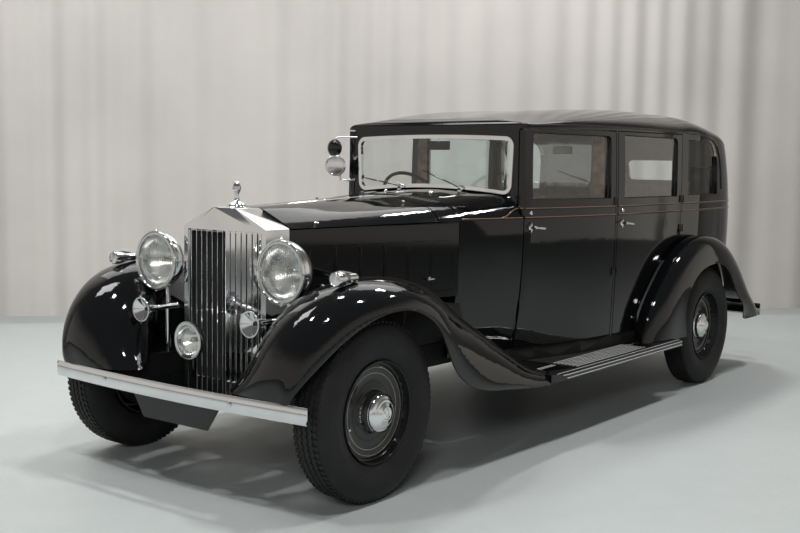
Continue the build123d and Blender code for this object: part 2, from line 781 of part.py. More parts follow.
board_end = 2998.0
with BuildPart() as running_boards:
    with BuildSketch(Plane.XY.offset(board_top_z - board_thickness)):
        with BuildLine():
            Polyline(
                (sill_half(board_start) - 30, at(board_start)), (sill_half(1900) - 30, at(1900)),
                (sill_half(2400) - 30, at(2400)), (sill_half(board_end) - 30, at(board_end)),
                (board_outer, at(board_end)), (board_outer, at(board_start + 160)),
                (wing_lip, at(board_start)), close=True,
            )
        make_face()
    extrude(amount=board_thickness)
    outer_edges = running_boards.edges().filter_by(
        lambda edge: edge.center().X > board_outer - 0.1 and abs(edge.center().Z - board_top_z) < 0.1)
    fillet(outer_edges, 14)
    mirror(about=Plane.YZ)
running_boards.part.label = "running_boards"
export_step(running_boards.part, "parts/running_boards.step")

mat_ends = (1640.0, 2520.0)
mat_thickness = 5.0
with BuildPart() as board_mats:
    with BuildSketch(Plane.XY.offset(board_top_z + seat_gap)):
        with BuildLine():
            Polyline(
                (sill_half(mat_ends[0]) + 20, at(mat_ends[0])), (sill_half(2100) + 20, at(2100)),
                (sill_half(mat_ends[1]) + 20, at(mat_ends[1])), (board_outer - 26, at(mat_ends[1])),
                (board_outer - 26, at(mat_ends[0])), close=True,
            )
        make_face()
    extrude(amount=mat_thickness)
    mirror(about=Plane.YZ)
board_mats.part.label = "board_mats"
export_step(board_mats.part, "parts/board_mats.step")

floor_z = rail_bottom_z + rail_height + seat_gap
rear_floor_z = 700.0
floor_thickness = 8.0
riser = 3140.0
bulkhead = 1080.0
steering_hub = (-405.0, at(1900), 1257.0)
column_tilt = 35.0
column_radius = 20.0
steering_boss = 30.0
house_radius = 453.0
house_inner = 600.0
house_outer = 688.0
house_sheet = 8.0
rear_floor_half = 603.0
front_floor_plan = ((bulkhead, 400), (screen_y, 500), (1900, 608), (2400, 684), (3100, 690),
                    (riser, rear_floor_half))
rear_floor_plan = ((riser - floor_thickness, rear_floor_half), (wheelbase + 500, rear_floor_half),
                   (wheelbase + 800, 598),
                   (wheelbase + 930, 430))


def floor_plate(plan, z):
    """Floor from a half plan of distances and half widths."""
    right = [(half, at(distance)) for distance, half in plan]
    left = [(-half, at(distance)) for distance, half in reversed(plan)]
    with BuildSketch(Plane.XY.offset(z)) as plate:
        with BuildLine():
            Polyline(*right, *left, close=True)
        make_face()
    return extrude(plate.sketch, amount=floor_thickness)


with BuildPart() as bulkhead_plate:
    loft(sections=scuttle_sections(wall + seat_gap, 30 + seat_gap, 8, sill_z - 60))
    with BuildSketch(Plane.XZ.offset(-at(bulkhead))):
        with Locations((0, floor_z + 500)):
            Rectangle(1400, 1000)
    extrude(amount=-floor_thickness, mode=Mode.INTERSECT)

column_axis = Vector(0, -math.cos(math.radians(column_tilt)), -math.sin(math.radians(column_tilt)))
with BuildPart() as floor_and_bulkhead:
    add(floor_plate(front_floor_plan, floor_z))
    add(floor_plate(rear_floor_plan, rear_floor_z))
    with Locations((0, at(riser - floor_thickness), floor_z)):
        Box(2 * rear_floor_half, floor_thickness, rear_floor_z - floor_z + floor_thickness,
            align=(Align.CENTER, Align.MIN, Align.MIN))
    add(sill_band(6, 56, board_top_z + seat_gap, sill_z - board_top_z - 2 * seat_gap))
    add(sill_band(52, 58, sill_z - 5, floor_z + floor_thickness - sill_z + 5))
    # the floor's edge reaches the sill web
    add(sill_band(52, 75, floor_z, floor_thickness))
    # wheelhouses
    with BuildSketch(Plane.YZ.offset(house_inner)):
        with Locations((aft(0), tyre_radius)):
            Circle(house_radius + house_sheet)
    extrude(amount=house_sheet)
    with BuildSketch(Plane.YZ.offset(house_inner)):
        with Locations((aft(0), tyre_radius)):
            Circle(house_radius + house_sheet)
            Circle(house_radius, mode=Mode.SUBTRACT)
    extrude(amount=house_outer - house_inner)
    mirror(about=Plane.YZ)
    with Locations((0, aft(0), 0)):
        Box(3 * belt_half, 2.2 * house_radius, 2 * sill_z, mode=Mode.SUBTRACT)
    add(bulkhead_plate.part)
    # steering column
    column_start = Vector(*steering_hub) + column_axis * (steering_boss + seat_gap)
    column_length = (steering_hub[1] - at(bulkhead)) / math.cos(math.radians(column_tilt)) - steering_boss - 5
    with BuildSketch(Plane(origin=column_start, x_dir=(1, 0, 0), z_dir=column_axis)):
        Circle(column_radius)
    extrude(amount=column_length)
floor_and_bulkhead.part.label = "floor_and_bulkhead"
export_step(floor_and_bulkhead.part, "parts/floor_and_bulkhead.step")

# ================================================================ chassis
rail_top_z = rail_bottom_z + rail_height
rail_inner = rail_outer - rail_width
rail_profile = (
    (-405, 505), (-250, rail_top_z), (3150, rail_top_z), (3400, 640), (3900, 640), (4300, 520),
    (4480, 455), (4700, 455), (4700, 395), (4480, 395), (4300, 440), (3900, 520), (3400, 520),
    (3150, rail_bottom_z),
    (-250, rail_bottom_z), (-405, 430),
)
cross_members = (
    # distance of the middle, bottom, height
    (60.6, 430, 70), (200, 430, 70), (950, 430, 70), (2000, 430, 70), (3000, 430, 70),
    (wheelbase + 430, 500, 80), (wheelbase + 930, 396, 56),
)
cross_width = 60.0
cross_tube_radius = 22.0
with BuildPart() as chassis_frame:
    with BuildSketch(Plane.YZ.offset(rail_inner)):
        with BuildLine():
            Polyline(*[(at(distance), z) for distance, z in rail_profile], close=True)
        make_face()
    extrude(amount=rail_width)
    mirror(about=Plane.YZ)
    for distance, low_z, height in cross_members:
        with Locations((0, at(distance), low_z)):
            Box(2 * rail_inner + 10, cross_width, height, align=(Align.CENTER, Align.CENTER, Align.MIN))
    with BuildSketch(Plane.YZ.offset(-rail_inner - 10)):
        with Locations((at(-400), 425)):
            Circle(cross_tube_radius)
    extrude(amount=2 * rail_inner + 20)
chassis_frame.part.label = "chassis_frame"
export_step(chassis_frame.part, "parts/chassis_frame.step")

engine_front = 150.0
engine_bottom_z = 500.0
engine_size = (300.0, 850.0, 630.0)
with BuildPart() as engine_block:
    with Locations((0, at(engine_front), engine_bottom_z + seat_gap)):
        Box(*engine_size, align=(Align.CENTER, Align.MIN, Align.MIN))
engine_block.part.label = "engine_block"
export_step(engine_block.part, "parts/engine_block.step")

eye_low_z = 370.0
eye_high_z = 440.0
beam_half_depth = 35.0
beam_end = 668.0
beam_bottom_z = 345.0
beam_middle_top_z = 398.0
with BuildPart() as front_suspension:
    with BuildSketch(Plane.XZ.offset(-at(-beam_half_depth))):
        with BuildLine():
            seat_z = rail_bottom_z - seat_gap
            right = [(beam_end, eye_low_z), (450, eye_low_z), (370, beam_bottom_z)]
            top = [(beam_end, seat_z), (rail_inner - 10, seat_z), (320, beam_middle_top_z)]
            Polyline(*right, *[(-x, z) for x, z in reversed(right)], *[(-x, z) for x, z in top],
                     *reversed(top), close=True)
        make_face()
    extrude(amount=-2 * beam_half_depth)
    with BuildSketch(Plane.XY.offset(eye_low_z)):
        with Locations((kingpin_half, at(0)), (-kingpin_half, at(0))):
            Circle(eye_radius)
    extrude(amount=eye_high_z - eye_low_z)
front_suspension.part.label = "front_suspension"
export_step(front_suspension.part, "parts/front_suspension.step")

axle_tube_radius = 45.0
diff_radius = 130.0
backplate_radius = 180.0
spindle_end = 850.0
spring_inner = 455.0
spring_outer = 515.0
spring_front = 3000.0           # eyes, behind the front axle
spring_back = 4250.0
spring_front_z = 485.0
spring_back_z = 495.0
spring_leaves = 50.0            # thickness of the leaves at the axle
spring_low_z = 315.0
spring_eye_radius = 24.0
with BuildPart() as rear_axle:
    for radius, start, length in ((axle_tube_radius, -745, 1490), (diff_radius, -110, 220),
                                  (backplate_radius, 740, 30), (backplate_radius, -770, 30),
                                  (spindle_radius, -spindle_end, 2 * spindle_end)):
        with BuildSketch(Plane.YZ.offset(start)):
            with Locations((aft(0), tyre_radius)):
                Circle(radius)
        extrude(amount=length)
    # leaf springs, their eyes on the outside of the rails
    for start in (spring_inner, -spring_outer):
        with BuildSketch(Plane.YZ.offset(start)):
            with BuildLine():
                front, back = at(spring_front), at(spring_back)
                ThreePointArc((front, spring_front_z + 10), (aft(0), spring_low_z + spring_leaves),
                              (back, spring_back_z + 10))
                Line((back, spring_back_z + 10), (back, spring_back_z - 10))
                ThreePointArc((back, spring_back_z - 10), (aft(0), spring_low_z),
                              (front, spring_front_z - 10))
                Line((front, spring_front_z - 10), (front, spring_front_z + 10))
            make_face()
        extrude(amount=spring_outer - spring_inner)
    eye_length = spring_outer - rail_outer - seat_gap
    for start in (rail_outer + seat_gap, -spring_outer):
        with BuildSketch(Plane.YZ.offset(start)):
            with Locations((at(spring_front), spring_front_z), (at(spring_back), spring_back_z)):
                Circle(spring_eye_radius)
        extrude(amount=eye_length)
rear_axle.part.label = "rear_axle"
export_step(rear_axle.part, "parts/rear_axle.step")

exhaust_x = -178.3
exhaust_z = 320.0
exhaust_radius = 28.0
exhaust_front = 860.0
exhaust_end = 4640.0
exhaust_top_z = 700.0
silencer = (2080.0, 820.0, 80.0)    # front end behind the front axle, length, radius
tank_front = 460.0
tank_bottom_z = 430.0
tank_size = (600.0, 439.4, 170.0)
with BuildPart() as tank_and_exhaust:
    with Locations((0, aft(tank_front + seat_gap), tank_bottom_z)):
        Box(*tank_size, align=(Align.CENTER, Align.MIN, Align.MIN))
    with BuildLine():
        FilletPolyline((exhaust_x, at(exhaust_front), exhaust_top_z),
                       (exhaust_x, at(exhaust_front), exhaust_z),
                       (exhaust_x, at(exhaust_end), exhaust_z), radius=90)
    with BuildSketch(Plane.XY.offset(exhaust_top_z)):
        with Locations((exhaust_x, at(exhaust_front))):
            Circle(exhaust_radius)
    sweep()
    with BuildSketch(Plane.XZ.offset(-at(silencer[0]))):
        with Locations((exhaust_x, exhaust_z)):
            Circle(silencer[2])
    extrude(amount=-silencer[1])
tank_and_exhaust.part.label = "tank_and_exhaust"
export_step(tank_and_exhaust.part, "parts/tank_and_exhaust.step")

# ================================================================ bumpers
blade = 8.0
bracket = 30.0                  # square section
front_blade = (832.0, 421.0, bumper_top_z)     # half width, bottom and top
rear_blade = (830.0, 355.0, 445.0)


def bumper(middle, ends, half, low_z, high_z, rail_end, bracket_z):
    """Bowed blade on two brackets from the rail ends. The ends lie nearer the wheels."""
    inward = 1 if middle < 0 else -1
    with BuildPart() as piece:
        with BuildSketch(Plane.XY.offset(low_z)):
            with BuildLine():
                ThreePointArc((-half, at(ends)), (0, at(middle)), (half, at(ends)))
                Line((half, at(ends)), (half, at(ends) + inward * blade))
                ThreePointArc((half, at(ends) + inward * blade), (0, at(middle) + inward * blade),
                              (-half, at(ends) + inward * blade))
                Line((-half, at(ends) + inward * blade), (-half, at(ends)))
            make_face()
        extrude(amount=high_z - low_z)
        middle_x = (rail_inner + rail_outer) / 2
        sag = abs(middle - ends) * (middle_x / half) ** 2
        reach = abs(rail_end - middle) - sag - seat_gap - blade / 2
        align = (Align.CENTER, Align.MAX if inward > 0 else Align.MIN, Align.CENTER)
        for x in (middle_x, -middle_x):
            with Locations((x, at(rail_end) - inward * seat_gap, bracket_z)):
                Box(bracket, reach, bracket, align=align)
    return piece.part


front_bumper = bumper(-front_overhang, -460, *front_blade, -405, 450)
front_bumper.label = "front_bumper"
export_step(front_bumper, "parts/front_bumper.step")
rear_face = wheelbase + rear_overhang
rear_bumper = bumper(rear_face, rear_face - 42, *rear_blade, 4700, 425)
rear_bumper.label = "rear_bumper"
export_step(rear_bumper, "parts/rear_bumper.step")

# ================================================================ radiator
radiator_top_z = bonnet_front_z
radiator_plateau = 74.0
grille_half = 250.0
grille_z = (440.0, 1166.0)
cap_y = at(-40)
# outline of the filler cap and its finial: radius and height over the radiator's top
cap_outline = ((0, -4), (46, -4), (46, 8), (38, 20), (20, 27), (12, 40), (10, 64), (19, 82), (21, 98),
               (12, 118), (0, 128))


def radiator_outline(inset):
    """Upright front outline with sloping shoulders and a flat top."""
    half = radiator_half - inset
    with BuildSketch(Plane.XZ.offset(-at(radiator_face))) as outline:
        with BuildLine():
            Polyline((-half, radiator_bottom_z + inset), (half, radiator_bottom_z + inset),
                     (half, shoulder_z - inset / 2), (radiator_plateau, radiator_top_z - inset),
                     (-radiator_plateau, radiator_top_z - inset), (-half, shoulder_z - inset / 2), close=True)
        make_face()
        top = outline.vertices().filter_by(lambda corner: abs(corner.X) < radiator_plateau + 1)
        fillet(top, 40)
    return outline.sketch


with BuildPart() as radiator_shell:
    depth = radiator_back - radiator_face
    extrude(radiator_outline(0), amount=-depth)
    with BuildSketch(Plane.XZ.offset(-at(radiator_face))):
        with Locations((0, sum(grille_z) / 2)):
            RectangleRounded(2 * grille_half, grille_z[1] - grille_z[0], 8)
    extrude(amount=-depth, mode=Mode.SUBTRACT)
    # hollow behind the flange
    with BuildSketch(Plane.XZ.offset(-at(radiator_face + radiator_flange))):
        with Locations((0, (radiator_bottom_z + shoulder_z) / 2)):
            Rectangle(2 * (radiator_half - radiator_wall),
                      shoulder_z - radiator_bottom_z - 2 * radiator_wall)
    extrude(amount=-depth, mode=Mode.SUBTRACT)
    # filler cap with a plain finial
    with BuildSketch(Plane.XZ.offset(-cap_y)):
        with BuildLine():
            Polyline(*[(radius, radiator_top_z + rise) for radius, rise in cap_outline], close=True)
        make_face()
    revolve(axis=Axis((0, cap_y, 0), (0, 0, 1)), revolution_arc=360)
radiator_shell.part.label = "radiator_shell"
export_step(radiator_shell.part, "parts/radiator_shell.step")

# The vanes are turned about their own length, as mirror images in the two halves, so that from one
# side one half shows its faces and the other half its gaps.
slat_inset = 14.0               # vanes' middle, behind the radiator's face
slat_end_gap = 1.0
tie_bar = (4.0, 10.0, 8.0)      # depth, height and offset of the bars that tie the vanes
with BuildPart() as radiator_slats:
    pitch = (2 * grille_half - slat_width) / (slat_count - 1)
    slat_y = at(radiator_face + slat_inset)
    slat_length = grille_z[1] - grille_z[0] - 2 * slat_end_gap
    for index in range(slat_count):
        x = (index - (slat_count - 1) / 2) * pitch
        turn = 90 - slat_angle if x > 0 else 90 + slat_angle
        with BuildSketch(Plane.XY.offset(grille_z[0] + slat_end_gap)):
            with Locations((x, slat_y)):
                SlotOverall(slat_width, slat_thickness, rotation=turn)
        extrude(amount=slat_length)
    bar_depth, bar_height, bar_offset = tie_bar
    for z in (grille_z[0] + slat_end_gap, grille_z[1] - slat_end_gap - bar_height):
        with Locations((0, slat_y + bar_offset, z)):
            Box(2 * grille_half - 24, bar_depth, bar_height,
                align=(Align.CENTER, Align.CENTER, Align.MIN))
radiator_slats.part.label = "radiator_slats"
export_step(radiator_slats.part, "parts/radiator_slats.step")

core_inset = 50.0
core_depth = 90.0
with BuildPart() as radiator_core:
    core_half = radiator_half - radiator_wall - seat_gap
    with Locations((0, at(radiator_face + core_inset), radiator_bottom_z + radiator_wall + seat_gap)):
        Box(2 * core_half, core_depth, shoulder_z - radiator_bottom_z - 2 * radiator_wall - 2 * seat_gap,
            align=(Align.CENTER, Align.MIN, Align.MIN))
radiator_core.part.label = "radiator_core"
export_step(radiator_core.part, "parts/radiator_core.step")

# ================================================================ lamps and horns
lamp_x = 419.0
lamp_y = at(-183)
lamp_z = 1003.0
lamp_radius = 142.0
lamp_depth = 175.0
lamp_bead = 8.0
lens_radius = 130.0
post_x = 412.0
post_radius = 14.0
post_y = at(-110)
horn = (365.0, at(-320), 778.0)
horn_radius = 59.0
horn_length = 230.0
horn_throat = 12.0              # radius
fog = (0.0, at(-351), 671.0)
fog_radius = 85.0
fog_depth = 95.0
fog_bead = 6.0
fog_post_radius = 12.0
side_lamp = (742.0, at(-184), 993.8)
side_lamp_radius = 32.0
side_lamp_length = 150.0
lens_thickness = 4.0
lens_setback = 4.3


def bowl(place, radius, depth, bead):
    """Hollow lamp bowl about a line to the front, its mouth at the place."""
    x, y, z = place
    with BuildSketch(Plane.XY.offset(z)) as profile:
        with BuildLine():
            Line((x, y + depth), (x, y + depth - sheet))
            Spline((x, y + depth - sheet), (x + 0.62 * radius, y + 0.62 * depth),
                   (x + radius - sheet, y + 0.1 * depth), tangents=((1, 0), (0, -1)))
            Polyline((x + radius - sheet, y + 0.1 * depth), (x + radius - sheet, y + 4),
                     (x + radius - 2 * bead, y + 4), (x + radius - 2 * bead, y), (x + radius + bead / 2, y),
                     (x + radius + bead / 2, y + bead), (x + radius, y + bead), (x + radius, y + 0.1 * depth))
            Spline((x + radius, y + 0.1 * depth), (x + 0.66 * radius, y + 0.66 * depth), (x, y + depth),
                   tangents=((0, 1), (-1, 0)))
        make_face()
    return revolve(profile.sketch, axis=Axis((x, y, z), (0, 1, 0)), revolution_arc=360)


def disc(place, radius, thickness, back):
    """Lens set back from a mouth."""
    with BuildSketch(Plane.XZ.offset(-place[1] - back)) as face:
        with Locations((place[0], place[2])):
            Circle(radius)
    return extrude(face.sketch, amount=-thickness)


def round_bar(start, end, radius):
    """Round bar between two points."""
    reach = Vector(*end) - Vector(*start)
    with BuildSketch(Plane(origin=start, z_dir=reach)) as face:
        Circle(radius)
    return extrude(face.sketch, amount=reach.length)


with BuildPart() as lamps_and_horns:
    add(bowl((lamp_x, lamp_y, lamp_z), lamp_radius, lamp_depth, lamp_bead))
    post_top = lamp_z - lamp_radius + 12
    add(round_bar((post_x, post_y, rail_top_z + seat_gap), (post_x, post_y, post_top), post_radius))
    # horn trumpet
    with BuildSketch(Plane.XY.offset(horn[2])) as profile:
        x, y = horn[0], horn[1]
        with BuildLine():
            Polyline((x, y + horn_length), (x, y + 40), (x + horn_radius - 6, y), (x + horn_radius, y))
            Spline((x + horn_radius, y), (x + 26, y + 46), (x + horn_throat, y + 120),
                   (x + horn_throat, y + horn_length))
            Line((x + horn_throat, y + horn_length), (x, y + horn_length))
        make_face()
    revolve(axis=Axis(horn, (0, 1, 0)), revolution_arc=360)
    with Locations((horn[0], post_y, horn[2])):
        Box(post_x - horn[0], 16, 16, align=(Align.MIN, Align.CENTER, Align.CENTER))
    # side lamp pod and its foot
    with BuildSketch(Plane.XY.offset(side_lamp[2])) as profile:
        x, y = side_lamp[0], side_lamp[1]
        with BuildLine():
            Polyline((x, y + side_lamp_length), (x, y), (x + side_lamp_radius, y),
                     (x + side_lamp_radius, y + 30))
            Spline((x + side_lamp_radius, y + 30), (x + 20, y + 100), (x, y + side_lamp_length),
                   tangents=((0, 1), (-1, 0)))
        make_face()
    revolve(axis=Axis(side_lamp, (0, 1, 0)), revolution_arc=360)
    mirror(about=Plane.YZ)
    add(bowl(fog, fog_radius, fog_depth, fog_bead))
    foot, neck = apron_z + sheet + seat_gap, fog[2] - fog_radius + 16
    add(round_bar((0, fog[1] + 40, foot), (0, fog[1] + 40, neck), fog_post_radius))
lamps_and_horns.part.label = "lamps_and_horns"
export_step(lamps_and_horns.part, "parts/lamps_and_horns.step")

with BuildPart() as lamp_lenses:
    add(disc((lamp_x, lamp_y, lamp_z), lens_radius, lens_thickness, lens_setback))
    mirror(about=Plane.YZ)
    add(disc(fog, fog_radius - sheet - 1, lens_thickness, lens_setback))
lamp_lenses.part.label = "lamp_lenses"
export_step(lamp_lenses.part, "parts/lamp_lenses.step")

# ================================================================ cabin fittings
bench_width = 1180.0
# front edge, depth and height of each bench, and the side view of its backrest
front_bench = (at(1950), 340.0, 344.0)
front_backrest = ((at(2180), 860), (at(2290), 860), (at(2315), 1290), (at(2235), 1290))
rear_bench = (at(3300), 600.0, 232.0)
rear_backrest = ((at(3790), 900), (at(3990), 900), (at(4100), 1420), (at(3960), 1420))

with BuildPart() as front_seat:
    with Locations((0, front_bench[0], floor_z + floor_thickness + seat_gap)):
        Box(bench_width, *front_bench[1:], align=(Align.CENTER, Align.MIN, Align.MIN))
    with BuildSketch(Plane.YZ.offset(-bench_width / 2)):
        with BuildLine():
            Polyline(*front_backrest, close=True)
        make_face()
    extrude(amount=bench_width)
front_seat.part.label = "front_seat"
export_step(front_seat.part, "parts/front_seat.step")

with BuildPart() as rear_seat:
    with Locations((0, rear_bench[0], rear_floor_z + floor_thickness + seat_gap)):
        Box(bench_width, *rear_bench[1:], align=(Align.CENTER, Align.MIN, Align.MIN))
    with BuildSketch(Plane.YZ.offset(-bench_width / 2)):
        with BuildLine():
            Polyline(*rear_backrest, close=True)
        make_face()
    extrude(amount=bench_width)
rear_seat.part.label = "rear_seat"
export_step(rear_seat.part, "parts/rear_seat.step")

partition_y = at(2335)
partition_thickness = 20.0
partition_reach = 1500.0        # taller than the cabin, which trims it
division_z = 1485.0             # middle of the division window
division_size = (1240.0, 410.0)
division_radius = 30.0
dash_half = 570.0
with BuildPart() as cabin_fill:
    loft(sections=[cabin_section(station[0], station[1] - wall - move_gap, station[2] - wall - move_gap,
                                 station[3] - wall - move_gap, station[4] - 10,
                                 station[5] - roof_thickness - seat_gap, sill_z)
                   for station in cabin_stations[:4]])

with BuildPart() as partition_and_dash:
    add(cabin_fill.part)
    with BuildSketch(Plane.YZ.offset(-belt_half)):
        with Locations((partition_y + partition_thickness / 2,
                        floor_z + floor_thickness + seat_gap + partition_reach / 2)):
            Rectangle(partition_thickness, partition_reach)
    extrude(amount=2 * belt_half, mode=Mode.INTERSECT)
    with BuildSketch(Plane.XZ.offset(-partition_y + 5)):
        with Locations((0, division_z)):
            RectangleRounded(*division_size, division_radius)
    extrude(amount=-partition_thickness - 10, mode=Mode.SUBTRACT)
    with BuildSketch(Plane.YZ.offset(-dash_half)):
        with BuildLine():
            front = at(screen_y) + wall + seat_gap
            Polyline((front, 1150), (at(1640), 1140), (at(1690), 1180), (at(1690), 1230),
                     (at(1620), 1300), (front, 1300), close=True)
        make_face()
    extrude(amount=2 * dash_half)
partition_and_dash.part.label = "partition_and_dash"
export_step(partition_and_dash.part, "parts/partition_and_dash.step")

tail_lamp_x = 410.0
tail_lamp_z = 860.0
tail_lamp_radius = 42.0
tail_lamp_depth = 34.0
tail_lamp_draft = 14.0
with BuildPart() as tail_lamps:
    with BuildSketch(Plane.XZ.offset(-aft(tail_face + seat_gap))):
        with Locations((tail_lamp_x, tail_lamp_z), (-tail_lamp_x, tail_lamp_z)):
            Circle(tail_lamp_radius)
    extrude(amount=-tail_lamp_depth, taper=tail_lamp_draft)
tail_lamps.part.label = "tail_lamps"
export_step(tail_lamps.part, "parts/tail_lamps.step")

with BuildPart() as bonnet_hinge:
    hinge_low = (0, at(radiator_back + seat_gap), bonnet_front_z - 3)
    hinge_high = (0, at(cowl_joint_centre - seat_gap), bonnet_crown_z(cowl_joint_centre) - 3)
    add(round_bar(hinge_low, hinge_high, hinge_pin_radius))
bonnet_hinge.part.label = "bonnet_hinge"
export_step(bonnet_hinge.part, "parts/bonnet_hinge.step")

# ================================================================ steering
steering_radius = 215.0
steering_rim = 11.0
steering_boss_radius = 36.0
steering_spoke_radius = 9.0
wheel_slope = math.radians(column_tilt)
rim_section_plane = Plane(origin=steering_hub, x_dir=(1, 0, 0),
                          z_dir=(0, -math.sin(wheel_slope), math.cos(wheel_slope)))
steering_plane = Plane(origin=steering_hub, x_dir=(1, 0, 0), z_dir=-column_axis)
with BuildPart() as steering_wheel:
    with BuildSketch(rim_section_plane):
        with Locations((steering_radius, 0)):
            Circle(steering_rim)
    revolve(axis=Axis(steering_hub, tuple(column_axis)), revolution_arc=360)
    with BuildSketch(steering_plane):
        Circle(steering_boss_radius)
    extrude(amount=steering_boss, both=True)
    for turn in (90, 210, 330):
        a = math.radians(turn)
        spoke = Vector(steering_radius * math.cos(a), steering_radius * math.sin(a), 0)
        end = steering_plane.from_local_coords(spoke)
        add(round_bar(steering_hub, tuple(end), steering_spoke_radius))
steering_wheel.part.label = "steering_wheel"
export_step(steering_wheel.part, "parts/steering_wheel.step")

lug_gap = 0.5
lug_depth = 24.5
plate_x = 724.0
plate_thickness = 20.0
spindle_start = 738.0
knuckle_disc = 6.0
with BuildPart() as knuckle_left:
    for z in (eye_high_z + lug_gap, eye_low_z - lug_gap - lug_depth):
        with BuildSketch(Plane.XY.offset(z)):
            with Locations((kingpin_half, at(0))):
                Circle(eye_radius)
            with Locations((kingpin_half, at(0))):
                Rectangle(plate_x - kingpin_half + 2, 2 * eye_radius - 4, align=(Align.MIN, Align.CENTER))
        extrude(amount=lug_depth)
    with Locations((plate_x, at(0), eye_low_z - lug_gap - lug_depth)):
        Box(plate_thickness, 2 * eye_radius, eye_high_z - eye_low_z + 2 * lug_gap + 2 * lug_depth,
            align=(Align.MIN, Align.CENTER, Align.MIN))
    for radius, length in ((backplate_radius, knuckle_disc), (spindle_radius, spindle_end - spindle_start)):
        with BuildSketch(Plane.YZ.offset(spindle_start)):
            with Locations((at(0), tyre_radius)):
                Circle(radius)
        extrude(amount=length)
knuckle_left.part.label = "knuckle_left"
export_step(knuckle_left.part, "parts/knuckle_left.step")
knuckle_right = knuckle_left.part.mirror(Plane.YZ)
knuckle_right.label = "knuckle_right"
export_step(knuckle_right, "parts/knuckle_right.step")

# ================================================================ wheels
rim_well = 232.0
hub_bore = spindle_radius + running_clearance
hub_radius = 46.0
web_radius = 150.0              # where the disc turns into its dished outer ring
hub_cap_step = 50.0             # radius of the flat end of the hub cap


def wheel_profile(face, hub_reach, drum_back):
    """Half section of a wheel: radii against distances outwards from the tyre's middle plane."""
    half = rim_width / 2
    with BuildSketch(Plane.XY) as section:
        with BuildLine():
            # rim, disc and hub in one outline, from the inner flange round to the bore
            Polyline(
                (-half, tyre_seat_radius - seat_gap), (-half - 4, tyre_seat_radius - seat_gap),
                (-half - 4, rim_well - 12), (face - 4, rim_well - 16), (face + 4, rim_well - 34),
                (face - 6, web_radius), (face + 2, hub_radius + 50), (face - 4, hub_radius),
                (drum_back, hub_radius), (drum_back, hub_bore), (hub_reach - 12, hub_bore),
                (hub_reach - 12, 0), (hub_reach, 0), (hub_reach - 4, hub_cap_step),
                (hub_reach - 22, hub_cap_radius),
                (face + 8, hub_cap_radius + 6), (face + 2, web_radius), (face + 12, rim_well - 36),
                (face + 6, rim_well - 8), (half, rim_well - 8), (half, tyre_seat_radius - seat_gap),
                close=True,
            )
        make_face()
    return section.sketch


def wheel(place, side, face, hub_reach, drum_back):
    """Revolved wheel, with its outer side to the left or the right."""
    turned = revolve(wheel_profile(face, hub_reach, drum_back), axis=Axis.X, revolution_arc=360)
    if side < 0:
        turned = turned.mirror(Plane.YZ)
    return turned.moved(Location(place))


bead_half = 60.0                # half width of the tyre on the rim and of its tread
bead_height = 14.0
bulge_height = 80.0             # height of the widest place over the rim
shoulder_half = 72.0
shoulder_drop = 16.0
crown_drop = 3.0


def tyre(place):
    """Tyre with one rounded section, resting on the rim."""
    half = tyre_width / 2
    with BuildSketch(Plane.XY) as section:
        with BuildLine():
            seat, tread = tyre_seat_radius, tyre_radius
            lip, edge = (bead_half + 10, seat + bead_height), (bead_half, tread - crown_drop)
            bulge, shoulder = (half, seat + bulge_height), (shoulder_half, tread - shoulder_drop)
            Polyline((-bead_half, seat), (bead_half, seat), lip)
            Spline(lip, bulge, shoulder, edge)
            ThreePointArc(edge, (0, tread), (-edge[0], edge[1]))
            Spline((-edge[0], edge[1]), (-shoulder[0], shoulder[1]), (-bulge[0], bulge[1]), (-lip[0], lip[1]))
            Line((-lip[0], lip[1]), (-bead_half, seat))
        make_face()
    return revolve(section.sketch, axis=Axis.X, revolution_arc=360).moved(Location(place))


# place, axle, half track, disc offset, hub length outwards, inner end of the hub
wheel_sets = (("front", at(0), front_track / 2, 30, 118, -14), ("rear", aft(0), rear_track / 2, 12, 75, -14))
for place, y, half_track, face, hub_reach, drum_back in wheel_sets:
    for side, name in ((1, "left"), (-1, "right")):
        centre = (side * half_track, y, tyre_radius)
        rim = wheel(centre, side, face, hub_reach, drum_back)
        rim.label = f"wheel_{place}_{name}"
        export_step(rim, f"parts/wheel_{place}_{name}.step")
        ring = tyre(centre)
        ring.label = f"tyre_{place}_{name}"
        export_step(ring, f"parts/tyre_{place}_{name}.step")

# ================================================================ boot lid hinge
boot_pin_radius = 6.4
boot_pin_length = 60.0
boot_pin_starts = (-220.0, 160.0)
boot_pin_offset = 6.0           # behind the tail
with BuildPart() as boot_hinge:
    for x in boot_pin_starts:
        with BuildSketch(Plane.YZ.offset(x)):
            with Locations((aft(tail_face) + boot_pin_offset, lid_z[1])):
                Circle(boot_pin_radius)
        extrude(amount=boot_pin_length)
boot_hinge.part.label = "boot_hinge"
export_step(boot_hinge.part, "parts/boot_hinge.step")
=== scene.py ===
import math

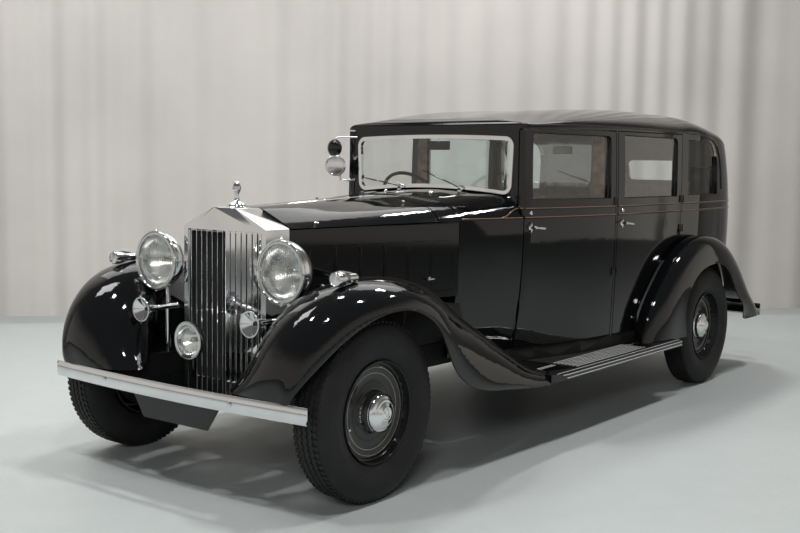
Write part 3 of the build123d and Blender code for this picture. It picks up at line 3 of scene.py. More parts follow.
import bmesh
import bpy
from mathutils import Matrix, Vector
from mathutils.bvhtree import BVHTree
from mathutils.geometry import convex_hull_2d
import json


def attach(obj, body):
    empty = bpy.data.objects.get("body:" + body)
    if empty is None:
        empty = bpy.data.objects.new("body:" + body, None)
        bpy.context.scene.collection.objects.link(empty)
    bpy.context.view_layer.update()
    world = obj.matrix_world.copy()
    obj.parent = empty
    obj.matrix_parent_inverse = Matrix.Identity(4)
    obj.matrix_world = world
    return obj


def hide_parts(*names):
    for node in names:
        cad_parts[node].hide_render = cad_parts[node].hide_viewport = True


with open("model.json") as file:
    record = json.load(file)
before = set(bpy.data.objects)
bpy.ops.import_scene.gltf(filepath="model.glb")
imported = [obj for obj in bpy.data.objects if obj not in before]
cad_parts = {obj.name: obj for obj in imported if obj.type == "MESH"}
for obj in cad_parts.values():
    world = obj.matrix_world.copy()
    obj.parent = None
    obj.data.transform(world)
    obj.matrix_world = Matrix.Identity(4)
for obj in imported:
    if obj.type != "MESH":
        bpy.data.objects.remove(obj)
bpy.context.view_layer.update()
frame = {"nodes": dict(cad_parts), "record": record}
nodes = frame["nodes"]
scene = bpy.context.scene
print("frame loaded")

# camera
camUser = {"lens": 49.82, "place": (3.8085, -5.9003, 1.4888), "yaw": 37.44, "pitch": -5.295, "roll": 0.808}


def link(obj):
    scene.collection.objects.link(obj)
    return obj


def rotated(degrees, axis):
    return Matrix.Rotation(math.radians(degrees), 4, axis)


camera = link(bpy.data.objects.new("camera", bpy.data.cameras.new("camera")))
camera.data.lens = camUser["lens"]
camera.matrix_world = (Matrix.Translation(camUser["place"]) @ rotated(camUser["yaw"], "Z")
                       @ rotated(90 + camUser["pitch"], "X") @ rotated(camUser["roll"], "Z"))
scene.camera = camera
scene.view_settings.view_transform = "Standard"


def newMesh(name, verts, faces, edges=(), ending=""):
    mesh = bpy.data.meshes.new(name + ending)
    mesh.from_pydata([tuple(v) for v in verts], list(edges), faces)
    return link(bpy.data.objects.new(name, mesh))


# materials: patches and grain come from one shared node group
def surfaceGroup():
    group = bpy.data.node_groups.new("patchAndGrain", "ShaderNodeTree")
    for name, start in (("Patch Scale", 3.0), ("Grain Scale", 200.0)):
        socket = group.interface.new_socket(name, in_out="INPUT", socket_type="NodeSocketFloat")
        socket.default_value = start
    stretch = group.interface.new_socket("Stretch", in_out="INPUT", socket_type="NodeSocketVector")
    stretch.default_value = (1, 1, 1)
    for name in ("Patch", "Grain"):
        group.interface.new_socket(name, in_out="OUTPUT", socket_type="NodeSocketFloat")
    inside = group.nodes.new("NodeGroupInput")
    outside = group.nodes.new("NodeGroupOutput")
    coords = group.nodes.new("ShaderNodeTexCoord")
    mapping = group.nodes.new("ShaderNodeMapping")
    group.links.new(coords.outputs["Object"], mapping.inputs["Vector"])
    group.links.new(inside.outputs["Stretch"], mapping.inputs["Scale"])
    for name, detail, low, high in (("Patch", 5.0, 0.35, 0.65), ("Grain", 3.0, 0.3, 0.7)):
        noise = group.nodes.new("ShaderNodeTexNoise")
        noise.inputs["Detail"].default_value = detail
        spread = group.nodes.new("ShaderNodeMapRange")
        spread.inputs["From Min"].default_value = low
        spread.inputs["From Max"].default_value = high
        group.links.new(mapping.outputs["Vector"], noise.inputs["Vector"])
        group.links.new(inside.outputs[name + " Scale"], noise.inputs["Scale"])
        group.links.new(noise.outputs["Fac"], spread.inputs["Value"])
        group.links.new(spread.outputs["Result"], outside.inputs[name])
    return group


patchAndGrain = surfaceGroup()


class Shader:
    def __init__(self, name, patch, grain, stretch=(1, 1, 1)):
        self.material = bpy.data.materials.new(name)
        self.material.use_nodes = True
        self.tree = self.material.node_tree
        self.main = self.tree.nodes["Principled BSDF"]
        shared = self.tree.nodes.new("ShaderNodeGroup")
        shared.node_tree = patchAndGrain
        shared.inputs["Patch Scale"].default_value = patch
        shared.inputs["Grain Scale"].default_value = grain
        shared.inputs["Stretch"].default_value = stretch
        self.patch = shared.outputs["Patch"]
        self.grain = shared.outputs["Grain"]

    def node(self, kind, **values):
        made = self.tree.nodes.new(kind)
        for key, value in values.items():
            setattr(made, key, value)
        return made

    def join(self, start, end):
        self.tree.links.new(start, end)

    def rough(self, source, low, high):
        made = self.node("ShaderNodeMapRange")
        made.inputs["To Min"].default_value = low
        made.inputs["To Max"].default_value = high
        self.join(source, made.inputs["Value"])
        self.join(made.outputs["Result"], self.main.inputs["Roughness"])

    def color(self, source, colorA, colorB):
        made = self.node("ShaderNodeMix", data_type="RGBA")
        made.inputs["A"].default_value = (*colorA, 1)
        made.inputs["B"].default_value = (*colorB, 1)
        self.join(source, made.inputs["Factor"])
        self.join(made.outputs["Result"], self.main.inputs["Base Color"])

    def bump(self, source, distance, strength):
        made = self.node("ShaderNodeBump")
        made.inputs["Distance"].default_value = distance
        made.inputs["Strength"].default_value = strength
        self.join(source, made.inputs["Height"])
        self.join(made.outputs["Normal"], self.main.inputs["Normal"])

    def set(self, **values):
        for key, value in values.items():
            self.main.inputs[key.replace("_", " ")].default_value = value

    def texture(self, kind, scale, output, **values):
        coords = self.node("ShaderNodeTexCoord")
        made = self.node(kind, **values)
        made.inputs["Scale"].default_value = scale
        self.join(coords.outputs["Object"], made.inputs["Vector"])
        return made.outputs[output]


def shaded(color, factor):
    return tuple(c * factor for c in color)


def paint(name, color, roughness=0.35, gloss=0.05):
    made = Shader(name, 3.0, 420.0)
    made.color(made.patch, color, shaded(color, 1.3))
    made.rough(made.patch, roughness, roughness + 0.1)
    made.set(Specular_IOR_Level=0.0, Coat_Weight=1.0, Coat_Roughness=gloss, Coat_IOR=1.5)
    made.bump(made.grain, 0.00003, 0.08)
    return made.material


def metal(name, color, low, high, patch=6.0):
    made = Shader(name, patch, 260.0)
    made.set(Metallic=1.0)
    made.color(made.patch, color, shaded(color, 0.92))
    made.rough(made.patch, low, high)
    made.bump(made.grain, 0.00003, 0.06)
    return made.material


def dull(name, color, roughness, grain=60.0, depth=0.0004, lift=1.5):
    made = Shader(name, 5.0, grain)
    made.color(made.patch, color, shaded(color, lift))
    made.rough(made.grain, roughness - 0.08, min(1.0, roughness + 0.08))
    made.set(Specular_IOR_Level=0.3)
    made.bump(made.grain, depth, 0.4)
    return made.material


def glazing(name, color, roughness=0.0, flutes=0.0, depth=0.0006, ior=1.45):
    made = Shader(name, 4.0, 30.0)
    made.set(Transmission_Weight=1.0, IOR=ior)
    made.color(made.patch, color, shaded(color, 0.97))
    made.rough(made.patch, roughness, roughness + 0.02)
    if flutes:
        made.bump(made.texture("ShaderNodeTexWave", flutes, "Fac", bands_direction="X"), depth, 0.6)
    return made.material


def leatherSkin(name, color):
    made = Shader(name, 9.0, 420.0)
    made.color(made.patch, color, shaded(color, 0.7))
    made.rough(made.patch, 0.38, 0.5)
    made.bump(made.texture("ShaderNodeTexVoronoi", 420.0, "Distance"), 0.0006, 0.35)
    return made.material


def polishedWood(name, light, dark):
    made = Shader(name, 14.0, 200.0, (1.0, 0.12, 1.4))
    made.color(made.patch, light, dark)
    made.rough(made.patch, 0.3, 0.42)
    made.set(Coat_Weight=0.8, Coat_Roughness=0.06)
    made.bump(made.patch, 0.0003, 0.2)
    return made.material


black = paint("blackPaint", (0.0030, 0.0034, 0.0040))
wheelBlack = paint("wheelPaint", (0.011, 0.0115, 0.012), 0.5, 0.22)
chassisBlack = dull("chassisPaint", (0.006, 0.006, 0.006), 0.5, 90.0, 0.0003)
chrome = metal("chrome", (0.80, 0.82, 0.83), 0.03, 0.08)
softChrome = metal("polishedAluminium", (0.74, 0.75, 0.76), 0.14, 0.24, 12.0)
silver = metal("reflector", (0.86, 0.87, 0.87), 0.16, 0.26)
ironGrey = dull("castIron", (0.05, 0.05, 0.05), 0.6)
coreBrown = dull("coreMetal", (0.030, 0.032, 0.031), 0.6)
rubber = dull("matRubber", (0.014, 0.014, 0.014), 0.55, 140.0, 0.0003, 1.8)
# black rubber ribs painted pale grey: a painted sheen of light glinting on the ribs
ribRubber = dull("ribRubber", (0.50, 0.50, 0.48), 0.30, 140.0, 0.0002, 1.2)
tyreRubber = dull("tyreRubber", (0.012, 0.0122, 0.0124), 0.66, 180.0, 0.0002, 1.6)
clearGlass = glazing("windowGlass", (0.93, 0.96, 0.95))
lensGlass = glazing("flutedLens", (0.97, 0.98, 0.97), 0.04, 22.0, 0.0012)
divisionGlass = glazing("divisionGlass", (0.80, 0.90, 0.90), ior=2.3)
redGlass = glazing("redGlass", (0.6, 0.01, 0.01), 0.05, 30.0)
tan = leatherSkin("tanLeather", (0.34, 0.20, 0.11))
darkHide = leatherSkin("darkLeather", (0.030, 0.026, 0.023))
walnut = polishedWood("walnut", (0.30, 0.14, 0.05), (0.09, 0.035, 0.015))
oak = polishedWood("paleWood", (0.52, 0.25, 0.08), (0.36, 0.16, 0.05))
lining = dull("roofCloth", (0.62, 0.52, 0.41), 0.85, 300.0, 0.0005, 1.15)
carpet = dull("carpet", (0.05, 0.045, 0.04), 0.92, 500.0, 0.002, 1.6)
bakelite = paint("bakelite", (0.008, 0.008, 0.008), 0.3)
coachline = paint("coachline", (0.30, 0.16, 0.10), 0.4)
plateBlack = dull("plateBlack", (0.01, 0.01, 0.01), 0.4, 80.0, 0.0002)
dialCream = dull("dialCream", (0.55, 0.52, 0.44), 0.5, 90.0, 0.0001, 1.05)
print("materials made")

# floor and a room that is pale behind the car and dim above it
stageUser = {
    "floor": (0.55, 0.585, 0.57),
    "floorReach": 15,
    "floorSides": 64,
    "curtain": (0.62, 0.585, 0.55),
    "seenBeyond": (0.56, 0.53, 0.50),
    "reflectedWall": (0.58, 0.545, 0.50),
    "lightingWall": (0.13, 0.13, 0.13),
    "lightingTop": (0.03, 0.032, 0.036),
    "reflectedTop": (0.13, 0.13, 0.13),
    "wallFade": (0.18, 0.50),
}
corners = range(stageUser["floorSides"])
turns = [2 * math.pi * i / stageUser["floorSides"] for i in corners]
reach = stageUser["floorReach"]
floor = newMesh("floor", [(reach * math.cos(turn), reach * math.sin(turn), 0) for turn in turns],
                [tuple(corners)])
floor.data.materials.append(dull("floorPaint", stageUser["floor"], 0.45, 30.0, 0.0002, 1.03))

# curtain behind the car; its back is clear, so that other views aren't blocked
curtainUser = {"start": (-10.2, -5.8), "end": (4.4, 10.3), "height": 8.5, "gap": 0.06,
               "wideFold": (0.020, 9.1, 1.3, 1.7), "narrowFold": (0.010, 21.0, 2.0, 2.3), "fade": 0.9}
foot, far = Vector(curtainUser["start"]), Vector(curtainUser["end"])
along = (far - foot).normalized()


def curtainCloth():
    made = Shader("curtainCloth", 0.8, 400.0)
    made.color(made.patch, stageUser["curtain"], shaded(stageUser["curtain"], 1.12))
    made.set(Roughness=0.9)

    def maths(kind, *values):
        step = made.node("ShaderNodeMath", operation=kind)
        for socket, value in zip(step.inputs, values):
            if isinstance(value, float):
                socket.default_value = value
            else:
                made.join(value, socket)
        return step.outputs["Value"]

    coords = made.node("ShaderNodeTexCoord")
    reach = made.node("ShaderNodeVectorMath", operation="DOT_PRODUCT")
    reach.inputs[1].default_value = (along.x, along.y, 0)
    made.join(coords.outputs["Object"], reach.inputs[0])
    travel = maths("SUBTRACT", reach.outputs["Value"], foot.dot(along))

    # a sine along the curtain whose phase wanders slowly
    def fold(depth, pitch, wander, slow):
        phase = maths("MULTIPLY", maths("SINE", maths("MULTIPLY", travel, slow)), wander)
        return maths("MULTIPLY", maths("SINE", maths("MULTIPLY_ADD", travel, pitch, phase)), depth)

    fading = maths("MULTIPLY_ADD", maths("SINE", maths("MULTIPLY", travel, curtainUser["fade"])), 0.5, 0.5)
    wide = maths("MULTIPLY", fold(*curtainUser["wideFold"]), fading)
    made.bump(maths("ADD", wide, fold(*curtainUser["narrowFold"])), 1.0, 1.0)

    clear = made.node("ShaderNodeBsdfTransparent")
    choice = made.node("ShaderNodeMixShader")
    facing = made.node("ShaderNodeNewGeometry")
    made.join(facing.outputs["Backfacing"], choice.inputs["Fac"])
    made.join(made.main.outputs["BSDF"], choice.inputs[1])
    made.join(clear.outputs["BSDF"], choice.inputs[2])
    made.join(choice.outputs["Shader"], made.tree.nodes["Material Output"].inputs["Surface"])
    return made.material


low, high = curtainUser["gap"], curtainUser["height"]
curtain = newMesh("curtain", [(*foot, low), (*far, low), (*far, high), (*foot, high)], [(0, 1, 2, 3)])
curtain.data.materials.append(curtainCloth())

world = bpy.data.worlds.new("room")
scene.world = world
world.use_nodes = True
sky = world.node_tree
background = sky.nodes["Background"]


def skyMix(factor, colorA, colorB):
    made = sky.nodes.new("ShaderNodeMix")
    made.data_type = "RGBA"
    for name, value in (("A", colorA), ("B", colorB)):
        if isinstance(value, tuple):
            made.inputs[name].default_value = (*value, 1)
        else:
            sky.links.new(value, made.inputs[name])
    sky.links.new(factor, made.inputs["Factor"])
    return made.outputs["Result"]


direction = sky.nodes.new("ShaderNodeTexCoord")
split = sky.nodes.new("ShaderNodeSeparateXYZ")
sky.links.new(direction.outputs["Generated"], split.inputs["Vector"])
rise = sky.nodes.new("ShaderNodeMapRange")
rise.inputs["From Min"].default_value, rise.inputs["From Max"].default_value = stageUser["wallFade"]
rise.interpolation_type = "SMOOTHSTEP"
sky.links.new(split.outputs["Z"], rise.inputs["Value"])
rays = sky.nodes.new("ShaderNodeLightPath")
seenDirectly = sky.nodes.new("ShaderNodeMath")
seenDirectly.operation = "MAXIMUM"
for index, kind in enumerate(("Is Camera Ray", "Is Transmission Ray")):
    sky.links.new(rays.outputs[kind], seenDirectly.inputs[index])
wallColor = skyMix(rays.outputs["Is Glossy Ray"], stageUser["lightingWall"], stageUser["reflectedWall"])
topColor = skyMix(rays.outputs["Is Glossy Ray"], stageUser["lightingTop"], stageUser["reflectedTop"])
roomColor = skyMix(rise.outputs["Result"], wallColor, topColor)
seenColor = skyMix(seenDirectly.outputs["Value"], roomColor, stageUser["seenBeyond"])
sky.links.new(seenColor, background.inputs["Color"])


def softbox(name, place, target, size, power):
    light = bpy.data.lights.new(name, "AREA")
    light.shape = "RECTANGLE"
    light.size, light.size_y = size
    light.energy = power
    made = link(bpy.data.objects.new(name, light))
    made.location = place
    made.rotation_euler = (Vector(target) - Vector(place)).to_track_quat("-Z", "Y").to_euler()
    return made


roomLampUser = {"rows": 3, "columns": 2, "pitch": (2.6, 3.2), "shift": (0.6, -0.8), "height": 5.4,
                "size": (0.42, 0.42), "power": 62}
for row in range(roomLampUser["rows"]):
    for column in range(roomLampUser["columns"]):
        x = (column - 0.5) * roomLampUser["pitch"][0] + roomLampUser["shift"][0]
        y = (row - 1) * roomLampUser["pitch"][1] + roomLampUser["shift"][1]
        softbox(f"roomLamp{row}{column}", (x, y, roomLampUser["height"]), (x, y, 0), roomLampUser["size"],
                roomLampUser["power"])
# place, target, size, power, and whether it shows in reflections
softboxUser = {"frontFill": ((4.5, -7.5, 3.6), (0, -1.5, 0.7), (1.6, 1.6), 110, False),
               "curtainWash": ((-3.2, -3.6, 6.5), (-5.5, 0.2, 2.2), (2.5, 2.5), 170, True),
               "highBand": ((-2.9, 1.6, 4.9), (0.0, -0.6, 1.2), (7.5, 2.4), 85, True)}
for name, (*values, reflected) in softboxUser.items():
    softbox(name, *values).visible_glossy = reflected
print("stage made")


sides = ((1, "left"), (-1, "right"))
down, forward = (0, 0, -1), (0, -1, 0)
frontAxle, rearAxle = -2.165, 1.442


def bodyOf(node):
    for body, members in frame["record"]["behaviour"]["bodies"].items():
        if node in members:
            return body
    return "root"


# shape tools make a part, which is a pair of point list and face list
# closed turned shape around Z from (radius, height) pairs that start and end on the axis
def lathe(profile, steps):
    verts, rings = [], []
    for radius, height in profile:
        if radius < 1e-6:
            rings.append([len(verts)])
            verts.append(Vector((0, 0, height)))
            continue
        rings.append(list(range(len(verts), len(verts) + steps)))
        turns = [2 * math.pi * i / steps for i in range(steps)]
        verts += [Vector((radius * math.cos(turn), radius * math.sin(turn), height)) for turn in turns]
    faces = []
    for lower, upper in zip(rings, rings[1:]):
        for i in range(steps):
            j = (i + 1) % steps
            quad = [ring[k % len(ring)] for ring, k in ((lower, i), (lower, j), (upper, j), (upper, i))]
            face = [v for k, v in enumerate(quad) if v not in quad[:k]]
            if len(face) > 2:
                faces.append(face)
    return verts, faces


def block(size, bevel, segments=2):
    work = bmesh.new()
    bmesh.ops.create_cube(work, size=1.0)
    bmesh.ops.scale(work, vec=size, verts=work.verts)
    bmesh.ops.bevel(work, geom=list(work.edges), offset=bevel, segments=segments, affect="EDGES", profile=0.5)
    work.verts.index_update()
    part = ([v.co.copy() for v in work.verts], [[v.index for v in f.verts] for f in work.faces])
    work.free()
    return part


# round bar along points with a radius at each, closed at both ends
def tube(points, radii, steps):
    path = [Vector(p) for p in points]
    side = None
    verts = []
    for i, point in enumerate(path):
        along = (path[min(i + 1, len(path) - 1)] - path[max(i - 1, 0)]).normalized()
        if side is None:
            side = along.orthogonal().normalized()
        side = (side - along * side.dot(along)).normalized()
        over = along.cross(side)
        turns = [2 * math.pi * k / steps for k in range(steps)]
        verts += [point + (side * math.cos(turn) + over * math.sin(turn)) * radii[i] for turn in turns]
    faces = []
    for i in range(len(path) - 1):
        for k in range(steps):
            m = (k + 1) % steps
            faces.append([i * steps + k, i * steps + m, (i + 1) * steps + m, (i + 1) * steps + k])
    faces.append(list(reversed(range(steps))))
    faces.append([(len(path) - 1) * steps + k for k in range(steps)])
    return verts, faces


# moves a part so that its Z runs along the axis from the place
def placed(part, place, axis, turn=0.0):
    facing = Vector(axis).to_track_quat("Z", "Y").to_matrix().to_4x4()
    matrix = Matrix.Translation(place) @ facing @ rotated(turn, "Z")
    return [matrix @ Vector(v) for v in part[0]], part[1]


def shifted(part, place):
    return [Vector(v) + Vector(place) for v in part[0]], part[1]


def mirrored(part):
    return [Vector((-v[0], v[1], v[2])) for v in part[0]], [list(reversed(f)) for f in part[1]]


# bakes an object's modifiers into its mesh
def applied(obj):
    depsgraph = bpy.context.evaluated_depsgraph_get()
    obj.data = bpy.data.meshes.new_from_object(obj.evaluated_get(depsgraph), depsgraph=depsgraph)
    obj.modifiers.clear()


# turns the faces outwards, smooths them and rides the object on its body
def finished(obj, body, angle):
    work = bmesh.new()
    work.from_mesh(obj.data)
    bmesh.ops.recalc_face_normals(work, faces=work.faces)
    work.to_mesh(obj.data)
    work.free()
    obj.data.shade_smooth()
    obj.data.set_sharp_from_angle(angle=math.radians(angle))
    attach(obj, body)
    return obj


# one object from (part, material) pairs, riding on a body
def joined(name, body, parts, angle=35.0):
    verts, faces, indices, materials = [], [], [], []
    for (points, polygons), material in parts:
        if material not in materials:
            materials.append(material)
        start = len(verts)
        verts += points
        faces += [[start + i for i in f] for f in polygons]
        indices += [materials.index(material)] * len(polygons)
    obj = newMesh(name, verts, faces)
    for material in materials:
        obj.data.materials.append(material)
    obj.data.polygons.foreach_set("material_index", indices)
    return finished(obj, body, angle)


def offset(point, x=0.0, y=0.0, z=0.0):
    return Vector(point) + Vector((x, y, z))


# a part with its material; the turned profile and the bar's radii are in mm
def turned(profile, steps, place, axis=(0, 0, 1), material=chrome):
    part = lathe([(radius / 1000, height / 1000) for radius, height in profile], steps)
    return placed(part, place, axis), material


def bar(points, radii, steps=12, material=chrome):
    return tube(points, [radius / 1000 for radius in radii], steps), material


def box(size, bevel, place, material, segments=2):
    return shifted(block(size, bevel, segments), place), material


def rim(radius, thick, place, axis, material=chrome, squash=1.0, steps=72, around=12):
    verts, faces = [], []
    for i in range(steps):
        a = 2 * math.pi * i / steps
        for k in range(around):
            b = 2 * math.pi * k / around
            r = radius + thick * math.cos(b)
            verts.append(Vector((r * math.cos(a), r * math.sin(a), thick * squash * math.sin(b))))
            m, n = (i + 1) % steps, (k + 1) % around
            faces.append([i * around + k, m * around + k, m * around + n, i * around + n])
    return placed((verts, faces), place, axis), material


# Geometry Nodes: one tree follows a path, one repeats along a line, one repeats round an axle
def newTree(name, sockets):
    tree = bpy.data.node_groups.new(name, "GeometryNodeTree")
    tree.interface.new_socket("Geometry", in_out="INPUT", socket_type="NodeSocketGeometry")
    keys = {}
    for label, kind, start in sockets:
        socket = tree.interface.new_socket(label, in_out="INPUT", socket_type=kind)
        if start is not None:
            socket.default_value = start
        keys[label] = socket.identifier
    tree.interface.new_socket("Geometry", in_out="OUTPUT", socket_type="NodeSocketGeometry")
    start, end = tree.nodes.new("NodeGroupInput"), tree.nodes.new("NodeGroupOutput")

    def feed(label, node, socket=None):
        tree.links.new(start.outputs[label], node.inputs[socket or label])

    return tree, keys, start, end, feed


# adds nodes in a row, each fed by the one before; returns them
def chain(tree, first, *steps):
    made, source = [], first
    for kind, socket in steps:
        node = tree.nodes.new(kind)
        tree.links.new(source, node.inputs[socket])
        source = node.outputs[0]
        made.append(node)
    return made


def pathTree():
    tree, keys, start, end, feed = newTree("followPath", (
        ("Radius", "NodeSocketFloat", 0.004), ("Sides", "NodeSocketInt", 10),
        ("Spacing", "NodeSocketFloat", 0.02), ("Material", "NodeSocketMaterial", None)))
    resample, sweep, _, paintIt, real = chain(
        tree, start.outputs["Geometry"], ("GeometryNodeMeshToCurve", "Mesh"),
        ("GeometryNodeResampleCurve", "Curve"), ("GeometryNodeCurveToMesh", "Curve"),
        ("GeometryNodeSetShadeSmooth", "Geometry"), ("GeometryNodeSetMaterial", "Geometry"),
        ("GeometryNodeRealizeInstances", "Geometry"))[1:]
    resample.mode = "LENGTH"
    feed("Spacing", resample, "Length")
    circle = tree.nodes.new("GeometryNodeCurvePrimitiveCircle")
    feed("Radius", circle)
    feed("Sides", circle, "Resolution")
    tree.links.new(circle.outputs["Curve"], sweep.inputs["Profile Curve"])
    sweep.inputs["Fill Caps"].default_value = True
    feed("Material", paintIt)
    tree.links.new(real.outputs["Geometry"], end.inputs["Geometry"])
    return tree, keys


def rowTree():
    tree, keys, _, end, feed = newTree("repeatInRow", (
        ("Count", "NodeSocketInt", 4), ("Start", "NodeSocketVector", (0, 0, 0)),
        ("Step", "NodeSocketVector", (0, 0.1, 0)), ("Material", "NodeSocketMaterial", None)))
    line = tree.nodes.new("GeometryNodeMeshLine")
    feed("Count", line)
    feed("Start", line, "Start Location")
    feed("Step", line, "Offset")
    copies, _, paintIt = chain(
        tree, line.outputs["Mesh"], ("GeometryNodeInstanceOnPoints", "Points"),
        ("GeometryNodeRealizeInstances", "Geometry"), ("GeometryNodeSetMaterial", "Geometry"))
    feed("Geometry", copies, "Instance")
    feed("Material", paintIt)
    tree.links.new(paintIt.outputs["Geometry"], end.inputs["Geometry"])
    return tree, keys


# copies the part round the X axis; the part is made with its outward side along +Y
def axleTree():
    tree, keys, start, end, feed = newTree("repeatRoundAxle", (
        ("Count", "NodeSocketInt", 60), ("Radius", "NodeSocketFloat", 0.4),
        ("Centre", "NodeSocketVector", (0, 0, 0)), ("Material", "NodeSocketMaterial", None)))

    def number(kind, first, second):
        node = tree.nodes.new("ShaderNodeMath")
        node.operation = kind
        for socket, value in zip(node.inputs, (first, second)):
            if isinstance(value, float):
                socket.default_value = value
            elif value is not None:
                tree.links.new(value, socket)
        return node.outputs["Value"]

    index = tree.nodes.new("GeometryNodeInputIndex")
    share = number("DIVIDE", index.outputs["Index"], start.outputs["Count"])
    angle = number("MULTIPLY", share, 2 * math.pi)
    place = tree.nodes.new("ShaderNodeCombineXYZ")
    for kind, socket in (("COSINE", "Y"), ("SINE", "Z")):
        reach = number("MULTIPLY", number(kind, angle, None), start.outputs["Radius"])
        tree.links.new(reach, place.inputs[socket])
    turn = tree.nodes.new("ShaderNodeCombineXYZ")
    tree.links.new(angle, turn.inputs["X"])
    points = tree.nodes.new("GeometryNodePoints")
    feed("Count", points)
    tree.links.new(place.outputs["Vector"], points.inputs["Position"])
    copies, _, move, paintIt = chain(
        tree, points.outputs[0], ("GeometryNodeInstanceOnPoints", "Points"),
        ("GeometryNodeRealizeInstances", "Geometry"), ("GeometryNodeTransform", "Geometry"),
        ("GeometryNodeSetMaterial", "Geometry"))
    feed("Geometry", copies, "Instance")
    tree.links.new(turn.outputs["Vector"], copies.inputs["Rotation"])
    feed("Centre", move, "Translation")
    feed("Material", paintIt)
    tree.links.new(paintIt.outputs["Geometry"], end.inputs["Geometry"])
    return tree, keys


followPath, repeatInRow, repeatRoundAxle = pathTree(), rowTree(), axleTree()


# runs a Geometry Nodes tree on a small seed mesh and keeps the result as a plain mesh
def grown(name, body, verts, faces, recipe, values, edges=()):
    obj = newMesh(name, verts, faces, edges, "Seed")
    tree, keys = recipe
    modifier = obj.modifiers.new("build", "NODES")
    modifier.node_group = tree
    for label, value in values.items():
        modifier[keys[label]] = value
    applied(obj)
    obj.data.name = name
    return finished(obj, body, 40)


# round moulding along each path of points; a path that ends where it began is closed
def bead(name, body, paths, radius, material, sides=10, spacing=0.02):
    verts, edges = [], []
    for path in paths:
        start = len(verts)
        closed = (Vector(path[0]) - Vector(path[-1])).length < 1e-6
        points = path[:-1] if closed else path
        verts += points
        edges += [(start + i, start + i + 1) for i in range(len(points) - 1)]
        if closed:
            edges.append((start + len(points) - 1, start))
    values = {"Radius": radius, "Sides": sides, "Spacing": spacing, "Material": material}
    return grown(name, body, verts, [], followPath, values, edges)


# places on the CAD surfaces
def treeOf(*names):
    verts, faces = [], []
    for name in names:
        mesh = nodes[name].data
        start = len(verts)
        verts += [v.co.copy() for v in mesh.vertices]
        faces += [tuple(start + i for i in p.vertices) for p in mesh.polygons]
    return BVHTree.FromPolygons(verts, faces)


def castFrom(tree, start, along):
    hit = tree.ray_cast(Vector(start), Vector(along).normalized())
    return hit[0], hit[1]


def onSide(tree, side, y, z, lift=0.0):
    place = castFrom(tree, (side * 1.3, y, z), (-side, 0, 0))[0]
    return place and offset(place, side * lift)


# points on the outer side surface between (y, z) corners
def sidePath(tree, side, corners, lift=0.0, step=0.02):
    path = []
    for (y0, z0), (y1, z1) in zip(corners, corners[1:]):
        count = max(1, round(math.hypot(y1 - y0, z1 - z0) / step))
        path += [onSide(tree, side, y0 + (y1 - y0) * i / count, z0 + (z1 - z0) * i / count, lift)
                 for i in range(count)]
    path.append(onSide(tree, side, *corners[-1], lift))
    return [p for p in path if p]


def span(start, end, count):
    return [start + (end - start) * i / (count - 1) for i in range(count)]


# CAD surfaces carried over as merged, smooth copies, with extra edge loops at the levels
# zones are (material, test) pairs; a test gets a face's centre and normal
def carry(node, material, angle=32.0, zones=(), levels=(), shape=None):
    mesh = nodes[node].data.copy()
    mesh.name = node + "Skin"
    work = bmesh.new()
    work.from_mesh(mesh)
    bmesh.ops.remove_doubles(work, verts=work.verts, dist=0.00003)
    bmesh.ops.recalc_face_normals(work, faces=work.faces)
    for level in levels:
        bmesh.ops.bisect_plane(work, geom=work.verts[:] + work.edges[:] + work.faces[:], dist=0.00001,
                               plane_co=(0, 0, level), plane_no=(0, 0, 1))
    if shape:
        shape(work)
    work.to_mesh(mesh)
    work.free()
    obj = link(bpy.data.objects.new(node + "Skin", mesh))
    mesh.materials.clear()
    mesh.materials.append(material)
    for index, (other, test) in enumerate(zones):
        mesh.materials.append(other)
        for polygon in mesh.polygons:
            if test(polygon.center, polygon.normal):
                polygon.material_index = index + 1
    mesh.shade_smooth()
    mesh.set_sharp_from_angle(angle=math.radians(angle))
    weighted = obj.modifiers.new("weighted", "WEIGHTED_NORMAL")
    weighted.keep_sharp = True
    applied(obj)
    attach(obj, bodyOf(node))
    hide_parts(node)
    return obj


# where a skin changes its material
zoneUser = {"cabinLow": 1.0, "cabinFront": -0.62, "cabinReach": 0.75, "hubHeight": 0.40, "archReach": 0.75,
            "archInner": 0.55, "carpet": (-0.6, 1.9), "undertray": 0.6, "boardEdge": 0.950,
            "boardLevels": (0.3505, 0.3555, 0.3700, 0.3750), "division": 0.1, "hideTop": 1.26,
            "clothLow": 1.69}


def cabinSide(centre, normal):
    inward = normal.x * centre.x < -0.2 * abs(centre.x) or normal.z < -0.35
    inCabin = centre.z > zoneUser["cabinLow"] and centre.y > zoneUser["cabinFront"]
    return inCabin and inward and abs(centre.x) < zoneUser["cabinReach"]


def doorInside(centre, normal):
    return normal.x * centre.x < -0.5 * abs(centre.x)


def cabinFloor(centre, normal):
    return normal.z > 0.6 and zoneUser["carpet"][0] < centre.y < zoneUser["carpet"][1]


def boardStrip(centre, normal):
    a, b, c, d = zoneUser["boardLevels"]
    return abs(centre.x) > zoneUser["boardEdge"] and (a < centre.z < b or c < centre.z < d)


# faces of a wing that look towards its own axle
def underside(axle):
    def test(centre, normal):
        away = Vector((0, centre.y - axle, centre.z - zoneUser["hubHeight"]))
        near = away.length < zoneUser["archReach"] and abs(centre.x) > zoneUser["archInner"]
        return near and normal.dot(away.normalized()) < -0.25
    return test


for name in ("boot_lid", "bonnet_left", "bonnet_right", "bonnet_sides", "front_apron"):
    carry(name, black)
carry("front_wings", black, zones=((chassisBlack, underside(frontAxle)),))
carry("rear_wings", black, zones=((chassisBlack, underside(rearAxle)),))
carry("body_shell", black, zones=((lining, cabinSide),))
for name in ("front_door_left", "front_door_right", "rear_door_left", "rear_door_right"):
    carry(name, black, zones=((darkHide, doorInside),))
for name in ("radiator_shell", "radiator_slats", "windscreen_frame", "bonnet_hinge"):
    carry(name, chrome)


